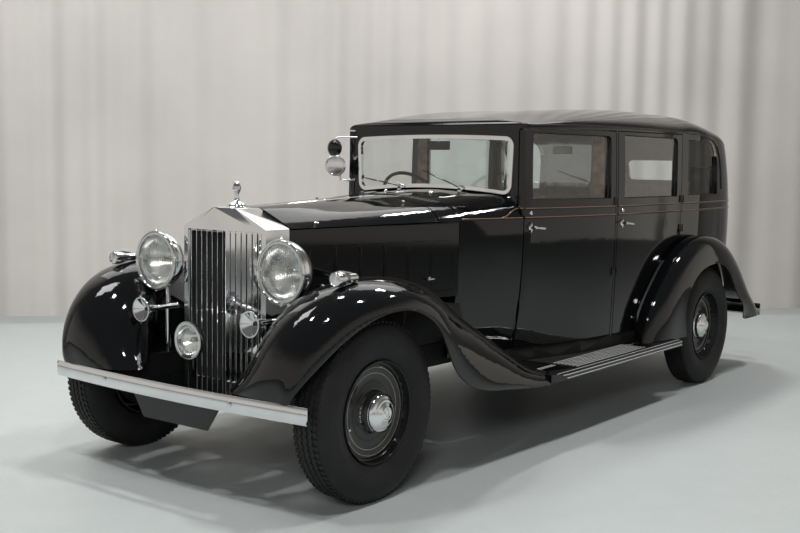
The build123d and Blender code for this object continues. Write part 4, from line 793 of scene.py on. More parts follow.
bumperUser = {"bars": (("front_bumper", 0.421, 0.496, -1), ("rear_bumper", 0.355, 0.445, 1)), "loops": 10,
              "reach": 2.61, "bow": 0.0085, "power": 2.4}


# rounds the outer face of a bumper bar between two heights
def bowed(low, high, facing):
    def shape(work):
        work.normal_update()
        outer = [v for v in work.verts if any(f.normal.y * facing > 0.75 for f in v.link_faces)
                 and low - 0.0002 <= v.co.z <= high + 0.0002 and abs(v.co.y) > bumperUser["reach"]]
        for vertex in outer:
            share = (vertex.co.z - (low + high) / 2) / ((high - low) / 2)
            vertex.co.y -= facing * bumperUser["bow"] * abs(share) ** bumperUser["power"]
    return shape


for name, low, high, facing in bumperUser["bars"]:
    loops = bumperUser["loops"]
    carry(name, chrome, 40.0, levels=[low + (high - low) * i / loops for i in range(1, loops)],
          shape=bowed(low, high, facing))

# lamp mouths with their radius, horns and side lamps
lampUser = {"heads": ((0.419, -2.348, 1.003, 0.142), (-0.419, -2.348, 1.003, 0.142)),
            "centre": (0, -2.516, 0.671, 0.085), "horns": (0, -2.485, 0.778), "hornReach": 0.365,
            "sideLamps": (0, -2.349, 0.9938), "sideReach": 0.742}


# inside of a headlamp or of the middle lamp
def lampBowl(centre, normal):
    for x, y, z, radius in (*lampUser["heads"], lampUser["centre"]):
        out = Vector((centre.x - x, 0, centre.z - z))
        if out.length < radius + 0.001 and y - 0.001 < centre.y < y + 0.2:
            return normal.y < -0.3 or normal.dot(out) < -0.3 * out.length
    return False


carry("lamps_and_horns", chrome, zones=(
    (silver, lampBowl), (black, lambda centre, normal: centre.z < zoneUser["undertray"])))
for name in ("door_hinge_pins", "boot_hinge"):
    carry(name, black)
for name in ("chassis_frame", "front_suspension", "rear_axle", "knuckle_left", "knuckle_right",
             "tank_and_exhaust", "inner_valances"):
    carry(name, chassisBlack)
carry("floor_and_bulkhead", chassisBlack, zones=((carpet, cabinFloor),))
for word in ("left", "right"):
    for place in ("front", "rear"):
        carry(f"{place}_door_glass_{word}", clearGlass)
carry("fixed_glass", clearGlass)
carry("lamp_lenses", lensGlass)
carry("tail_lamps", redGlass)
carry("engine_block", ironGrey)
carry("radiator_core", coreBrown)
carry("running_boards", black, levels=zoneUser["boardLevels"], zones=((softChrome, boardStrip),))
carry("board_mats", rubber)
carry("partition_and_dash", walnut, zones=(
    (darkHide, lambda centre, normal: centre.y > zoneUser["division"] and centre.z < zoneUser["hideTop"]),
    (lining, lambda centre, normal: centre.y > zoneUser["division"] and centre.z > zoneUser["clothLow"])))
carry("steering_wheel", bakelite)
print("skins carried over")

# mouldings with a coachline, one set for each body
beltUser = {"heights": (1.250, 1.200), "radius": 0.0055, "line": 0.0022, "lineLift": 0.0042,
            "lineRise": 0.0042, "doors": (("front", -0.636, 0.222), ("rear", 0.260, 1.198)),
            "dropStart": -0.652, "dropStep": 0.016, "scuttle": (-0.655, -1.09), "tailCentre": 1.216,
            "tailSteps": 120}
sideShell = treeOf("body_shell", "bonnet_sides")


def mouldings(name, body, paths):
    bead(name, body, paths, beltUser["radius"], black)
    lines = []
    for path in paths:
        line = []
        for i, point in enumerate(path):
            along = (path[min(i + 1, len(path) - 1)] - path[max(i - 1, 0)]).normalized()
            out = Vector((along.y, -along.x, 0)).normalized()
            if out.dot(Vector((point.x, point.y - 1.2 if point.y > 1.2 else 0, 0))) < 0:
                out.negate()
            line.append(offset(point + out * beltUser["lineLift"], z=beltUser["lineRise"]))
        lines.append(line)
    bead(name + "Line", body, lines, beltUser["line"], coachline, 6)


high, low = beltUser["heights"]
drop = [(beltUser["dropStart"] - beltUser["dropStep"] * i,
         high - (high - low - 0.002) * 0.5 * (1 - math.cos(math.pi * i / 10))) for i in range(11)]
for side, word in sides:
    for place, y0, y1 in beltUser["doors"]:
        door = treeOf(f"{place}_door_{word}")
        paths = [sidePath(door, side, [(y0, z), (y1, z)]) for z in beltUser["heights"]]
        mouldings(f"belt_{place}_{word}", f"{place}_door_{word}", paths)
    level = [(y, low) for y in beltUser["scuttle"]]
    mouldings(f"belt_scuttle_{word}", "body",
              [sidePath(sideShell, side, drop, step=0.012), sidePath(sideShell, side, level)])

shell = treeOf("body_shell")
turns = [math.pi * i / beltUser["tailSteps"] for i in range(beltUser["tailSteps"] + 1)]
outs = [Vector((math.cos(turn), math.sin(turn), 0)) for turn in turns]
paths = []
for height in beltUser["heights"]:
    hits = [castFrom(shell, offset(out * 2.5, 0, beltUser["tailCentre"], height), -out)[0] for out in outs]
    paths.append([hit for hit in hits if hit])
mouldings("belt_tail", "body", paths)
print("mouldings made")

# drip rails over the side windows
railUser = {"radius": 0.006, "lift": 0.001,
            "line": ((-0.60, 1.712), (-0.2, 1.722), (0.4, 1.728), (1.2, 1.728), (1.55, 1.716), (1.76, 1.692),
                     (1.87, 1.645), (1.93, 1.56), (1.955, 1.45), (1.96, 1.34))}
for side, word in sides:
    path = sidePath(shell, side, railUser["line"], railUser["lift"])
    bead(f"drip_rail_{word}", "body", [path], railUser["radius"], black)

# rubber round each side window
sealUser = {"radius": 0.0045, "lift": 0.001, "quarter": (1.2, 2.0)}
for side, word in sides:
    for name, body in ((f"front_door_glass_{word}", f"front_door_{word}"),
                       (f"rear_door_glass_{word}", f"rear_door_{word}"), ("fixed_glass", "body")):
        outer = {}
        for p in (v.co for v in nodes[name].data.vertices):
            key = (round(p.y, 4), round(p.z, 4))
            inPane = name != "fixed_glass" or sealUser["quarter"][0] < p.y < sealUser["quarter"][1]
            if inPane and p.x * side > 0.5 and (key not in outer or abs(p.x) > abs(outer[key].x)):
                outer[key] = p
        keys = list(outer)
        edge = [outer[keys[i]] for i in convex_hull_2d(keys)]
        path = [offset(p, side * sealUser["lift"]) for p in edge + edge[:1]]
        bead(f"window_rubber_{name}_{word}", body, [path], sealUser["radius"], rubber, 8, 0.015)
print("window trim made")

# door handles and lock knobs
handleUser = {"places": (("front", -0.590), ("rear", 0.305)), "height": 1.148, "lockHeight": 1.226,
              "length": 0.118, "stand": 0.032, "steps": (-0.06, 0, 0.2, 0.5, 0.8, 0.95, 1)}
rosette = ((0, -4), (17, -4), (19, 2), (16, 6), (10, 9), (8.5, 26), (10, 32), (9, 38), (0, 40))
lockKnob = ((0, -3), (13, -3), (13.5, 3), (11, 8), (6, 11), (0, 12))
for side, word in sides:
    for place, y in handleUser["places"]:
        body = f"{place}_door_{word}"
        door = treeOf(body)
        root = onSide(door, side, y, handleUser["height"])
        knob = onSide(door, side, y + 0.005, handleUser["lockHeight"])
        grip = offset(root, side * handleUser["stand"])
        joined(f"handle_{place}_{word}", body, (
            turned(rosette, 32, root, (side, 0, 0)),
            bar([offset(grip, 0, handleUser["length"] * s, -0.010 * s) for s in handleUser["steps"]],
                (4, 8.5, 7.5, 9.5, 10, 7.5, 2), 16),
            bar([offset(root, side * 0.006, 0, s * 0.030) for s in (-1, -0.7, 0, 0.7, 1)], (1, 6, 10, 6, 1)),
            turned(lockKnob, 24, knob, (side, 0, 0))))
print("handles made")

# rims, bulbs and knobs of the lamps, black discs in the horn throats as painted shade; profiles are in mm
bulb = ((0, 0), (11, 0), (11, 12), (14, 22), (12, 34), (6, 40), (0, 41))
bulbHolder = ((0, -20), (18, -20), (18, 0), (13, 4), (0, 4))
# black disc in the horn throat: painted shade of the deep opening
hornThroatShade = ((0, 0), (21, 0), (21, 1), (0, 1.5))
topKnob = ((0, -4), (6, -4), (6.5, 4), (4, 7), (5.5, 12), (0, 16))
footKnob = ((0, -4), (5, -4), (6, 4), (0, 10))
parts = []
for x, y, z, radius in lampUser["heads"]:
    mouth = Vector((x, y, z))
    parts += [
        rim(radius - 0.002, 0.0055, offset(mouth, 0, 0.003), forward, squash=1.3),
        rim(radius - 0.020, 0.004, offset(mouth, 0, 0.020), forward, silver),
        turned(bulb, 24, offset(mouth, 0, 0.085), forward, dialCream),
        turned(bulbHolder, 24, offset(mouth, 0, 0.095), forward),
        box((2 * radius - 0.03, 0.004, 0.003), 0.001, offset(mouth, 0, 0.040), silver),
        turned(topKnob, 20, offset(mouth, 0, 0.010, radius + 0.002)),
        turned(footKnob, 20, offset(mouth, 0, 0.006, -radius - 0.004), (0, 0, -1)),
    ]
*middle, radius = lampUser["centre"]
parts += [
    rim(radius - 0.001, 0.004, offset(middle, 0, 0.004), forward, squash=1.3),
    turned(bulb, 24, offset(middle, 0, 0.060), forward, dialCream),
    turned(bulbHolder, 24, offset(middle, 0, 0.068), forward),
]
for side in (1, -1):
    horn = offset(lampUser["horns"], side * lampUser["hornReach"])
    sideLamp = offset(lampUser["sideLamps"], side * lampUser["sideReach"])
    parts += [
        rim(0.057, 0.0035, offset(horn, 0, 0.003), forward, steps=48),
        rim(0.022, 0.002, offset(horn, 0, 0.035), forward, steps=32),
        # black throat disc: painted shade
        turned(hornThroatShade, 32, offset(horn, 0, 0.034), forward, plateBlack),
        rim(0.029, 0.003, offset(sideLamp, 0, 0.002), forward, squash=1.2, steps=40),
        bar([offset(sideLamp, 0, s, 0.033 - 0.02 * (s / 0.14) ** 2) for s in span(0.01, 0.13, 7)],
            (1, 3.5, 4, 4, 3.5, 3, 1), 8),
    ]
joined("lamp_details", "body", parts)
print("lamps detailed")

# bumper bolts, repeated in a row on each bumper
boltUser = {"rows": (("front", -2.656, 0.4585, -1), ("rear", 2.657, 0.400, 1)), "start": -0.42, "pitch": 0.84}
boltHead = ((0, -2), (11, -2), (11.5, 2), (9, 5), (4, 6.5), (0, 7))
for name, y, z, facing in boltUser["rows"]:
    head = turned(boltHead, 18, (0, 0, 0), (0, facing, 0))[0]
    grown(f"{name}_bumper_bolts", "body", *head, repeatInRow,
          {"Count": 2, "Start": (boltUser["start"], y, z), "Step": (boltUser["pitch"], 0, 0),
           "Material": chrome})

# running boards: lengthwise ribs in short lengths on each mat, painted pale grey as a painted sheen, bright
# strips along the edge
boardUser = {"strips": (0.783, 0.800, 0.9435), "stripSpan": (-0.80, 0.81), "start": -0.515, "length": 0.102,
             "gap": 0.006, "lengths": 8, "ribWidth": 0.010, "ribHeight": 0.0036, "firstRib": 0.778,
             "ribPitch": 0.0238, "ribs": 7, "ribMiddle": 0.3916}
verts, faces = [], []
for i in range(boardUser["lengths"]):
    middle = (i + 0.5) * (boardUser["length"] + boardUser["gap"])
    size = (boardUser["ribWidth"], boardUser["length"], boardUser["ribHeight"])
    rib = shifted(block(size, 0.0012), (0, middle, 0))
    faces += [[len(verts) + k for k in face] for face in rib[1]]
    verts += rib[0]
board = treeOf("running_boards")
for side, word in sides:
    strips = []
    for x in boardUser["strips"]:
        points = [castFrom(board, (side * x, y, 0.6), down)[0] for y in span(*boardUser["stripSpan"], 60)]
        strips.append([offset(p, z=0.0002) for p in points if p and p.z > 0.36])
    bead(f"board_strips_{word}", "body", strips, 0.0035, softChrome, 8, 0.03)
    first = (side * boardUser["firstRib"], boardUser["start"], boardUser["ribMiddle"])
    grown(f"board_ribs_{word}", "body", verts, faces, repeatInRow,
          {"Count": boardUser["ribs"], "Start": first, "Step": (side * boardUser["ribPitch"], 0, 0),
           "Material": ribRubber})
print("running boards detailed")

# bonnet: joint beads, vent doors, catches and knobs
bonnetUser = {"ventStart": -2.02, "ventWidth": 0.135, "ventGap": 0.012, "vents": 6, "low": 0.835,
              "high": 1.095, "joint": ((-2.125, 1.178), (-1.11, 1.183)), "catches": (-1.95, -1.30),
              "catchHeight": 0.90, "knobs": (-1.98, -1.30), "knobReach": 0.30, "rear": -1.085,
              "fillers": ((0.16, -0.86), (-0.16, -0.86))}
liftKnob = ((0, -3), (8, -3), (6.5, 6), (10, 14), (9, 20), (0, 23))
fillerKnob = ((0, -3), (12, -3), (12, 4), (8, 8), (4, 14), (0, 15))
flank = treeOf("bonnet_sides")
for side, word in sides:
    frames = []
    for i in range(bonnetUser["vents"]):
        y0 = bonnetUser["ventStart"] + i * (bonnetUser["ventWidth"] + bonnetUser["ventGap"])
        y1, low, high = y0 + bonnetUser["ventWidth"], bonnetUser["low"], bonnetUser["high"]
        corners = ((y0, low), (y0, high), (y1, high), (y1, low), (y0, low))
        frames.append(sidePath(flank, side, corners, step=0.03))
    bead(f"vent_frames_{word}", "body", frames, 0.0022, black, 6, 0.03)
    bead(f"bonnet_line_{word}", "body", [sidePath(flank, side, bonnetUser["joint"])], 0.0035, black, 8, 0.04)
    parts = []
    for y in bonnetUser["catches"]:
        root = onSide(flank, side, y, bonnetUser["catchHeight"])
        parts += [turned(lockKnob, 24, root, (side, 0, 0)),
                  bar([offset(root, side * 0.012, s) for s in (-0.030, 0, 0.030)], (3, 6, 3), 10)]
    joined(f"bonnet_catches_{word}", "body", parts)
    top = treeOf(f"bonnet_{word}")
    joined(f"bonnet_knobs_{word}", f"bonnet_{word}", [
        turned(liftKnob, 20, *castFrom(top, (side * bonnetUser["knobReach"], y, 1.6), down))
        for y in bonnetUser["knobs"]])
hits = [castFrom(shell, (x, bonnetUser["rear"], 1.7), down)[0] for x in span(-0.50, 0.50, 61)]
bead("scuttle_bead", "body", [[hit for hit in hits if hit and hit.z > 1.15]], 0.0045, black, 8, 0.02)
joined("scuttle_knobs", "body", [turned(fillerKnob, 24, *castFrom(shell, (x, y, 1.7), down))
                                 for x, y in bonnetUser["fillers"]])
print("bonnet detailed")

# wipers on the scuttle below the screen
wiperUser = {"pivots": ((-0.219, -0.190, 0.028), (0.214, -0.185, 0.062)), "blade": 0.26, "place": -0.655,
             "end": -0.646}
wiperPivot = ((0, -4), (14, -4), (13, 6), (8, 12), (8, 22), (5, 26), (0, 27))
parts = []
for x, reach, rise in wiperUser["pivots"]:
    base = castFrom(shell, (x, wiperUser["place"], 1.7), down)[0]
    start = offset(base, 0, -0.008, 0.022)
    end = Vector((x + reach, wiperUser["end"], start.z + rise))
    blade = (end - start).normalized() * wiperUser["blade"] * 0.5
    parts += [turned(wiperPivot, 24, base, (0, -0.5, 1)),
              bar([start, offset(start.lerp(end, 0.5), 0, -0.010, 0.006), end], (4.5, 3.5, 2.8), 8),
              bar([end - blade, end, end + blade * 0.8], (3, 4, 3), 8, rubber)]
joined("wipers", "body", parts)

# mirror and spot lamp on the driver's side pillar
pillarUser = {"mirror": (-0.700, -0.690, 1.581), "mirrorWay": (0.1, -1, 0),
              "mirrorFoot": (-0.560, -0.638, 1.648), "spot": (-0.662, -0.725, 1.472),
              "spotWay": (0.5, -0.87, 0.0), "spotFoot": (-0.588, -0.632, 1.386)}
mirrorBack = ((0, -4), (46, -4), (53, 1), (53, 5), (44, 14), (25, 22), (0, 24))
mirrorFace = ((0, -6), (48, -6), (48, -3), (0, -3))
spotBowl = ((0, -85), (20, -83), (45, -60), (60, -22), (63.5, 0), (63.5, 6), (58, 10), (54, 8), (0, 8))
spotFace = ((0, 9), (53, 9), (50, 16), (30, 21), (0, 23))
mirror, spot = Vector(pillarUser["mirror"]), Vector(pillarUser["spot"])
mirrorWay, spotWay = pillarUser["mirrorWay"], pillarUser["spotWay"]
joined("mirror_and_spot_lamp", "body", (
    turned(mirrorBack, 48, mirror, mirrorWay, black),
    turned(mirrorFace, 48, mirror, mirrorWay, silver),
    bar((offset(mirror, 0, 0, 0.05), offset(mirror, 0.012, 0.01, 0.066), offset(mirror, 0.06, 0.03, 0.068),
         pillarUser["mirrorFoot"]), (4, 5, 5, 6)),
    turned(spotBowl, 56, spot, spotWay),
    rim(0.058, 0.006, offset(spot, 0, -0.006), spotWay, steps=56),
    turned(spotFace, 48, spot, spotWay, silver),
    bar((offset(spot, 0.004, 0.035, -0.055), offset(spot, 0.006, 0.036, -0.085),
         offset(spot, 0.045, 0.060, -0.090), pillarUser["spotFoot"]), (7, 7, 6, 7))))
print("pillar fittings made")

# boot handle and tail lamp rims
bootUser = {"handle": 0.700, "half": 0.055, "bow": 2.437, "feet": 2.429, "lamps": (0.410, 2.446, 0.860)}
footRosette = ((0, -6), (12, -6), (11, 4), (6, 8), (0, 9))
grip = [(s * bootUser["half"], bootUser["bow"] + 0.020 * math.cos(s * 1.35), bootUser["handle"])
        for s in span(-1, 1, 13)]
feet = [turned(footRosette, 20, (side * bootUser["half"], bootUser["feet"], bootUser["handle"]), (0, 1, 0))
        for side in (-1, 1)]
joined("rear_fittings", "boot_lid", [bar(grip, [4] + [6] * 11 + [4], 10)] + feet)
x, y, z = bootUser["lamps"]
joined("tail_lamp_rims", "body", [rim(0.0405, 0.0035, (side * x, y, z), (0, 1, 0), squash=1.2, steps=48)
                                  for side in (1, -1)])
print("rear detailed")

# wheels: chrome hub cap, raised rings, a coachline that is also a painted highlight on the disc edges, and
# valve; tyres with a moulded tread
# pale ring colour: a coachline and a painted highlight on the edges of the disc
wheelLine = paint("wheelLine", (0.34, 0.30, 0.24), 0.4)
wheelUser = {"axles": (("front", 0.7685, frontAxle, 0.118), ("rear", 0.794, rearAxle, 0.075)),
             "centre": 0.403, "cap": 0.0365, "capRadius": 0.0915, "studs": ((200, 0.165, 8), (75, 0.198, 5)),
             "rings": ((0.170, 0.0019, wheelLine), (0.196, 0.0016, wheelLine), (0.130, 0.0022, wheelBlack))}
tyreUser = {"blocks": 84, "carcass": 0.3955, "top": 0.4024, "ribs": (-0.030, 0.0, 0.030), "ribHalf": 0.0105,
            "swing": 0.0045, "root": -0.0045,
            "shoulder": ((0.047, -0.36), (0.0655, -0.30), (0.0655, 0.26), (0.050, 0.40), (0.044, 0.05))}
hubCap = ((0, -20), (82, -20), (87, -10), (87.5, 0), (83, 6), (76, 7), (73, 10), (66, 24), (60, 29), (54, 30),
          (51, 33), (34, 36.5), (31, 39.5), (26, 39.5), (23, 37), (11, 38.5), (6, 41), (0, 41.5))
# radius and half width in mm, from the bead up to the tread
tyreHalf = ((228, 0), (228, 61), (236, 70), (246, 74.5), (250, 76.5), (256, 77.5), (275, 87.2), (300, 94.2),
            (312, 94.9), (330, 93.8), (340, 93.2), (346, 91.7), (362, 86.8), (376, 80), (386, 73.5),
            (392.5, 67), (395.2, 58), (395.7, 40), (395.8, 0))


def tyreBody(steps=160):
    outline = [(r / 1000, w / 1000) for r, w in tyreHalf]
    outline += [(r, -w) for r, w in reversed(outline[1:-1])]
    verts, faces = [], []
    size = len(outline)
    for i in range(steps):
        a = 2 * math.pi * i / steps
        verts += [Vector((w, r * math.cos(a), r * math.sin(a))) for r, w in outline]
        for k in range(size):
            m, n = (i + 1) % steps, (k + 1) % size
            faces.append([i * size + k, i * size + n, m * size + n, m * size + k])
    return verts, faces


# one pitch of tread: three zigzag ribs and two shoulder blocks, outward along +Y
def treadBlocks():
    pitch = 2 * math.pi * 0.4 / tyreUser["blocks"]
    verts, faces = [], []

    def prism(outline, low, high):
        start, size = len(verts), len(outline)
        verts.extend(Vector((x, y, z)) for y in (low, high) for x, z in outline)
        for k in range(size):
            m = (k + 1) % size
            faces.append([start + k, start + m, start + size + m, start + size + k])
        faces.append([start + size + k for k in range(size)])
        faces.append([start + k for k in reversed(range(size))])

    low, top = tyreUser["root"], tyreUser["top"] - tyreUser["carcass"]
    half, swing = tyreUser["ribHalf"], tyreUser["swing"]
    corners = ((-1, -1, -1), (1, -1, -1), (1, 1, 0), (1, -1, 1), (-1, -1, 1), (-1, 1, 0))
    for middle in tyreUser["ribs"]:
        prism([(middle + a * half + b * swing, c * pitch / 2) for a, b, c in corners],
              low, top - 0.0006 * (abs(middle) > 0))
    for side in (1, -1):
        prism([(side * x, pitch * z) for x, z in tyreUser["shoulder"]], low - 0.002, top - 0.0025)
    return verts, faces


tread = treadBlocks()
for place, track, y, hub in wheelUser["axles"]:
    for side, word in sides:
        body, wheel = f"{place}_wheel_{word}", f"wheel_{place}_{word}"
        centre = Vector((side * track, y, wheelUser["centre"]))

        def onCap(spot, normal):
            out = math.hypot(spot.y - centre.y, spot.z - centre.z)
            return (spot.x - centre.x) * side > hub - 0.075 and out < wheelUser["capRadius"]

        carry(wheel, wheelBlack, zones=((chrome, onCap),))
        casing = joined(f"tyre_casing_{place}_{word}", body, ((shifted(tyreBody(), centre), tyreRubber),), 50)
        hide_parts(f"tyre_{place}_{word}")
        grown(f"tyre_tread_{place}_{word}", body, *tread, repeatRoundAxle,
              {"Count": tyreUser["blocks"], "Radius": tyreUser["carcass"], "Centre": tuple(centre),
               "Material": tyreRubber})
        face = treeOf(wheel)
        inward, outward = (-side, 0, 0), (side, 0, 0)
        parts = [turned(hubCap, 64, offset(centre, side * (hub - wheelUser["cap"])), outward)]
        for radius, thick, material in wheelUser["rings"]:
            x = castFrom(face, offset(centre, side * 0.3, radius), inward)[0].x
            parts.append(rim(radius, thick, (x, centre.y, centre.z), outward, material, 0.7, 96, 8))
        for degrees, radius, size in wheelUser["studs"]:
            turn = math.radians(degrees)
            start = offset(centre, side * 0.3, radius * math.cos(turn), radius * math.sin(turn))
            stud = ((0, -3), (size, -3), (size * 0.9, size * 0.6), (size * 0.4, size), (0, size))
            parts.append(turned(stud, 16, castFrom(face, start, inward)[0], outward))
        joined(f"hub_cap_{place}_{word}", body, parts)
print("wheels detailed")

# padded leather: swelled by cloth pressure, then channelled, then piped
padUser = {"voxel": 0.011, "pressure": 4.0, "frames": 20, "cap": 0.024, "start": 0.014, "channels": 5,
           "channel": 0.007, "channelWidth": 0.007, "piping": 0.0042, "pipeLevels": (0.30, -0.34),
           "pipeSteps": 96}


# a cushion shape of the given size, blown up from a slightly smaller one
def swelled(name, size):
    obj = newMesh(name + "Pad", *block([s - 2 * padUser["start"] for s in size], min(size) * 0.2, 3))
    remesh = obj.modifiers.new("remesh", "REMESH")
    remesh.mode = "VOXEL"
    remesh.voxel_size = padUser["voxel"] * 1.0
    applied(obj)
    before = [v.co.copy() for v in obj.data.vertices]
    cloth = obj.modifiers.new("cloth", "CLOTH")
    cloth.settings.use_pressure = True
    cloth.settings.uniform_pressure_force = padUser["pressure"]
    cloth.settings.effector_weights.gravity = 0.0
    cloth.point_cache.frame_start = 1
    cloth.point_cache.frame_end = padUser["frames"]
    for step in range(1, padUser["frames"] + 1):
        scene.frame_set(step)
    depsgraph = bpy.context.evaluated_depsgraph_get()
    after = [v.co.copy() for v in obj.evaluated_get(depsgraph).data.vertices]
    obj.modifiers.clear()
    scene.frame_set(1)
    for vertex, start, end in zip(obj.data.vertices, before, after):
        move = end - start
        if move.length > padUser["cap"]:
            move *= padUser["cap"] / move.length
        vertex.co = start + move
    smooth = obj.modifiers.new("smooth", "SUBSURF")
    smooth.levels = 1
    applied(obj)
    reachNow = [max(abs(v.co[k]) for v in obj.data.vertices) for k in range(3)]
    for vertex in obj.data.vertices:
        vertex.co = Vector(vertex.co[k] * size[k] / 2 / reachNow[k] for k in range(3))
    return obj


# pads mirrored to both sides as one piece; channels are sewn across the crowned face
def upholstered(name, size, place, tilt, fill=0.85):
    obj = swelled(name, size)
    rows = [(-0.5 + (i + 1) / (padUser["channels"] + 1)) * size[0] for i in range(padUser["channels"])]
    points = []
    for vertex in obj.data.vertices:
        p = vertex.co.copy()
        near = min(abs(p.x - x) for x in rows)
        sink = padUser["channel"] * math.exp(-(near / padUser["channelWidth"]) ** 2)
        if p.z > 0:
            p.z -= sink * min(1.0, p.z / (size[2] * 0.3))
        if p.y < 0:
            p.y += sink * 0.6 * min(1.0, -p.y / (size[1] * 0.3))
        points.append(p)
    pieces = [(points, [list(f.vertices) for f in obj.data.polygons])]
    bpy.data.objects.remove(obj)
    tree = BVHTree.FromPolygons(*pieces[0])
    for level in padUser["pipeLevels"]:
        path = []
        for i in range(padUser["pipeSteps"] + 1):
            a = 2 * math.pi * i / padUser["pipeSteps"]
            out = Vector((math.cos(a) * size[0], math.sin(a) * size[1], 0))
            hit = castFrom(tree, offset(out, z=level * size[2]), -out)[0]
            if hit:
                path.append(hit * 0.998)
        pieces.append(tube(path, [padUser["piping"]] * len(path), 6))
    matrix = Matrix.Translation(place) @ rotated(tilt, "X")
    parts = []
    for verts, faces in pieces:
        moved = ([matrix @ v for v in verts], faces)
        parts += [(moved, tan), (mirrored(moved), tan)]
    made = joined(name, "body", parts, 80)
    return made


def bench(name, size, place):
    wide, deep, tall = size
    foot = box((wide - 0.02, deep + 0.001, 0.03), 0.004, offset(place, z=0.016 - tall / 2), darkHide)
    joined(name, "body", (box(size, 0.012, place, tan, 3), foot))


# size and place of the benches; size, place and tilt of the pads
seatUser = {"benches": (("front_bench", (1.17, 0.315, 0.19), (0, -0.047, 0.650)),
                        ("rear_bench", (1.17, 0.58, 0.090), (0, 1.435, 0.754))),
            "pads": (("front_cushion", (0.582, 0.235, 0.155), (0.293, -0.095, 0.8195), 0),
                     ("front_backrest", (0.582, 0.43, 0.080), (0.293, 0.0905, 1.074), 95.0),
                     ("rear_cushion", (0.582, 0.490, 0.142), (0.293, 1.382, 0.868), 0),
                     ("rear_backrest", (0.582, 0.505, 0.130), (0.293, 1.765, 1.160), 105.0))}
for values in seatUser["benches"]:
    bench(*values)
pads = [upholstered(*values) for values in seatUser["pads"]]
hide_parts("front_seat", "rear_seat")
print("seats padded")

# cappings and fittings on the doors, wood on the pillars
innerUser = {"doors": (("front", -0.54, 0.150), ("rear", 0.345, 1.125)), "cappingHeight": 1.288,
             "cappingRadius": 0.011, "fittingHeight": 0.95, "post": (0.652, 0.232, 1.485)}
# points along a bar as inward, lengthwise and rising distances
winder = ((0, -0.15, 0.17), (0.018, -0.15, 0.17), (0.022, -0.09, 0.15), (0.044, -0.085, 0.15))
pull = ((0, 0.14, 0.17), (0.018, 0.14, 0.17), (0.020, 0.06, 0.17))


# place on the door's inner face, with its inward, lengthwise and rising directions
def doorFace(door, side, middle):
    hits = [castFrom(door, (0, middle + dy, innerUser["fittingHeight"] + dz), (side, 0, 0))[0]
            for dy, dz in ((-0.16, 0), (0.16, 0), (0, -0.16), (0, 0.12), (0, 0))]
    along = (hits[1] - hits[0]).normalized()
    inward = along.cross((hits[3] - hits[2]).normalized()).normalized()
    if inward.x * side > 0:
        inward.negate()
    rise = inward.cross(along).normalized()
    if rise.z < 0:
        rise.negate()
    return hits[4], inward, along, rise


for side, word in sides:
    for place, y0, y1 in innerUser["doors"]:
        body = f"{place}_door_{word}"
        door = treeOf(body)
        hits = [castFrom(door, (0, y, innerUser["cappingHeight"]), (side, 0, 0))[0] for y in span(y0, y1, 24)]
        bead(f"wood_capping_{place}_{word}", body, [[offset(hit, -side * 0.003) for hit in hits if hit]],
             innerUser["cappingRadius"], walnut, 12, 0.03)
        spot, inward, along, rise = doorFace(door, side, (y0 + y1) / 2)
        flat = (box((0.034, 0.26, 0.050), 0.014, (0.016, 0.03, 0.08), tan, 3),
                box((0.010, 0.36, 0.17), 0.004, (0.004, 0.0, -0.17), darkHide),
                bar(winder, (14, 8, 6, 9)), bar(pull, (12, 7, 6)))
        parts = []
        for (points, faces), material in flat:
            fitted = [spot + inward * v[0] + along * v[1] + rise * v[2] for v in points]
            parts.append(((fitted, faces), material))
        joined(f"door_fittings_{place}_{word}", body, parts)
    x, y, z = innerUser["post"]
    joined(f"pillar_wood_{word}", "body", (box((0.030, 0.024, 0.36), 0.007, (side * x, y, z), oak, 3),))

# sliding glass of the division, with its rails
divisionUser = {"panes": ((0.305, 0.1745), (-0.305, 0.1835)), "stiles": ((0.004, 0.1745), (-0.004, 0.1835)),
                "paneWidth": 0.612, "glass": 0.005, "half": 0.618, "middle": 0.179, "low": 1.279,
                "high": 1.690}
low, high = divisionUser["low"], divisionUser["high"]
middle, tall = (low + high) / 2, high - low
pane = (divisionUser["paneWidth"], divisionUser["glass"], tall - 0.004)
rail = (divisionUser["half"] * 2 - 0.01, 0.021, 0.012)
joined("division_glass", "body", [box(pane, 0.0012, (x, y, middle), divisionGlass, 1)
                                  for x, y in divisionUser["panes"]])
joined("division_rails", "body",
       [box((0.016, 0.0085, tall - 0.002), 0.003, (x, y, middle), chrome) for x, y in divisionUser["stiles"]]
       + [box(rail, 0.003, (0, divisionUser["middle"], z), walnut) for z in (low + 0.006, high - 0.006)])

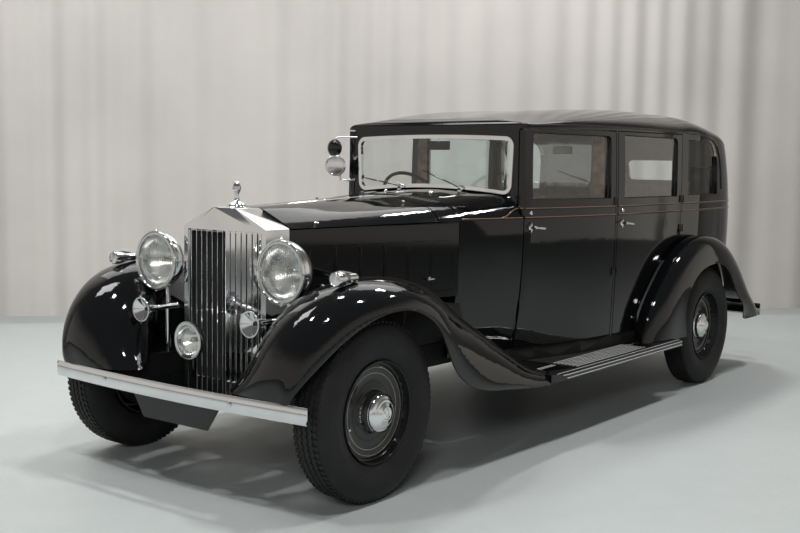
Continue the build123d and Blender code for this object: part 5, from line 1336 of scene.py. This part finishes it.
# driver's place: column, instruments, switches, levers and pedals
driverUser = {"hub": (-0.405, -0.290, 1.240), "foot": (-0.405, -0.560, 1.051), "dialHeight": 1.225,
              "dials": ((-0.10, 0.048), (0.02, 0.048), (0.13, 0.036), (-0.19, 0.030)),
              "switches": (0.22, 0.26, 0.30, -0.25), "switchHeight": 1.205,
              "levers": ((-0.10, 0.05, 0.80), (-0.16, 0.02, 0.86)), "pedals": (-0.46, -0.38, -0.30)}
switchKnob = ((0, -3), (6, -3), (5, 10), (10, 14), (10, 22), (0, 24))
leverKnob = ((0, -12), (12, -10), (19, 6), (17, 18), (0, 26))
parts = [bar((driverUser["hub"], driverUser["foot"]), (22, 22), 20, bakelite)]
dash = treeOf("partition_and_dash")
rearward = (0, 1, 0)
for x, radius in driverUser["dials"]:
    hit = castFrom(dash, (x, -0.30, driverUser["dialHeight"]), forward)[0]
    face, hand = radius * 930, block((0.003, radius * 1.2, 0.001), 0.0003, 1)
    parts += [
        turned(((0, -4), (face, -4), (face, 2), (0, 2)), 40, hit, rearward, plateBlack),
        rim(radius, 0.004, offset(hit, 0, 0.002), rearward, steps=40),
        (placed(hand, offset(hit, 0, 0.0035), rearward, x * 400), dialCream),
        rim(radius * 0.72, 0.0012, offset(hit, 0, 0.0030), rearward, dialCream, 0.5, 40),
    ]
for x in driverUser["switches"]:
    hit = castFrom(dash, (x, -0.30, driverUser["switchHeight"]), forward)[0]
    parts.append(turned(switchKnob, 18, hit, rearward))
for x, lean, top in driverUser["levers"]:
    parts += [bar(((x, -0.46, 0.47), (x, -0.44 + lean, 0.65), (x, -0.40 + lean, top)), (9, 8, 7)),
              turned(leverKnob, 24, (x, -0.40 + lean, top), material=bakelite)]
for x in driverUser["pedals"]:
    parts += [box((0.052, 0.012, 0.070), 0.004, (x, -0.66, 0.565), rubber),
              bar(((x, -0.668, 0.560), (x, -0.74, 0.60)), (7, 7), 10, softChrome)]
joined("driver_controls", "body", parts)

# mirror inside the screen
joined("inside_mirror", "body", (
    box((0.150, 0.014, 0.052), 0.006, (0.0, -0.560, 1.600), plateBlack, 3),
    box((0.140, 0.002, 0.043), 0.0009, (0.0, -0.5525, 1.600), silver, 1),
    bar(((0, -0.562, 1.615), (0, -0.570, 1.650), (0, -0.596, 1.672)), (5, 4, 6), 10)))
print("cabin fitted")
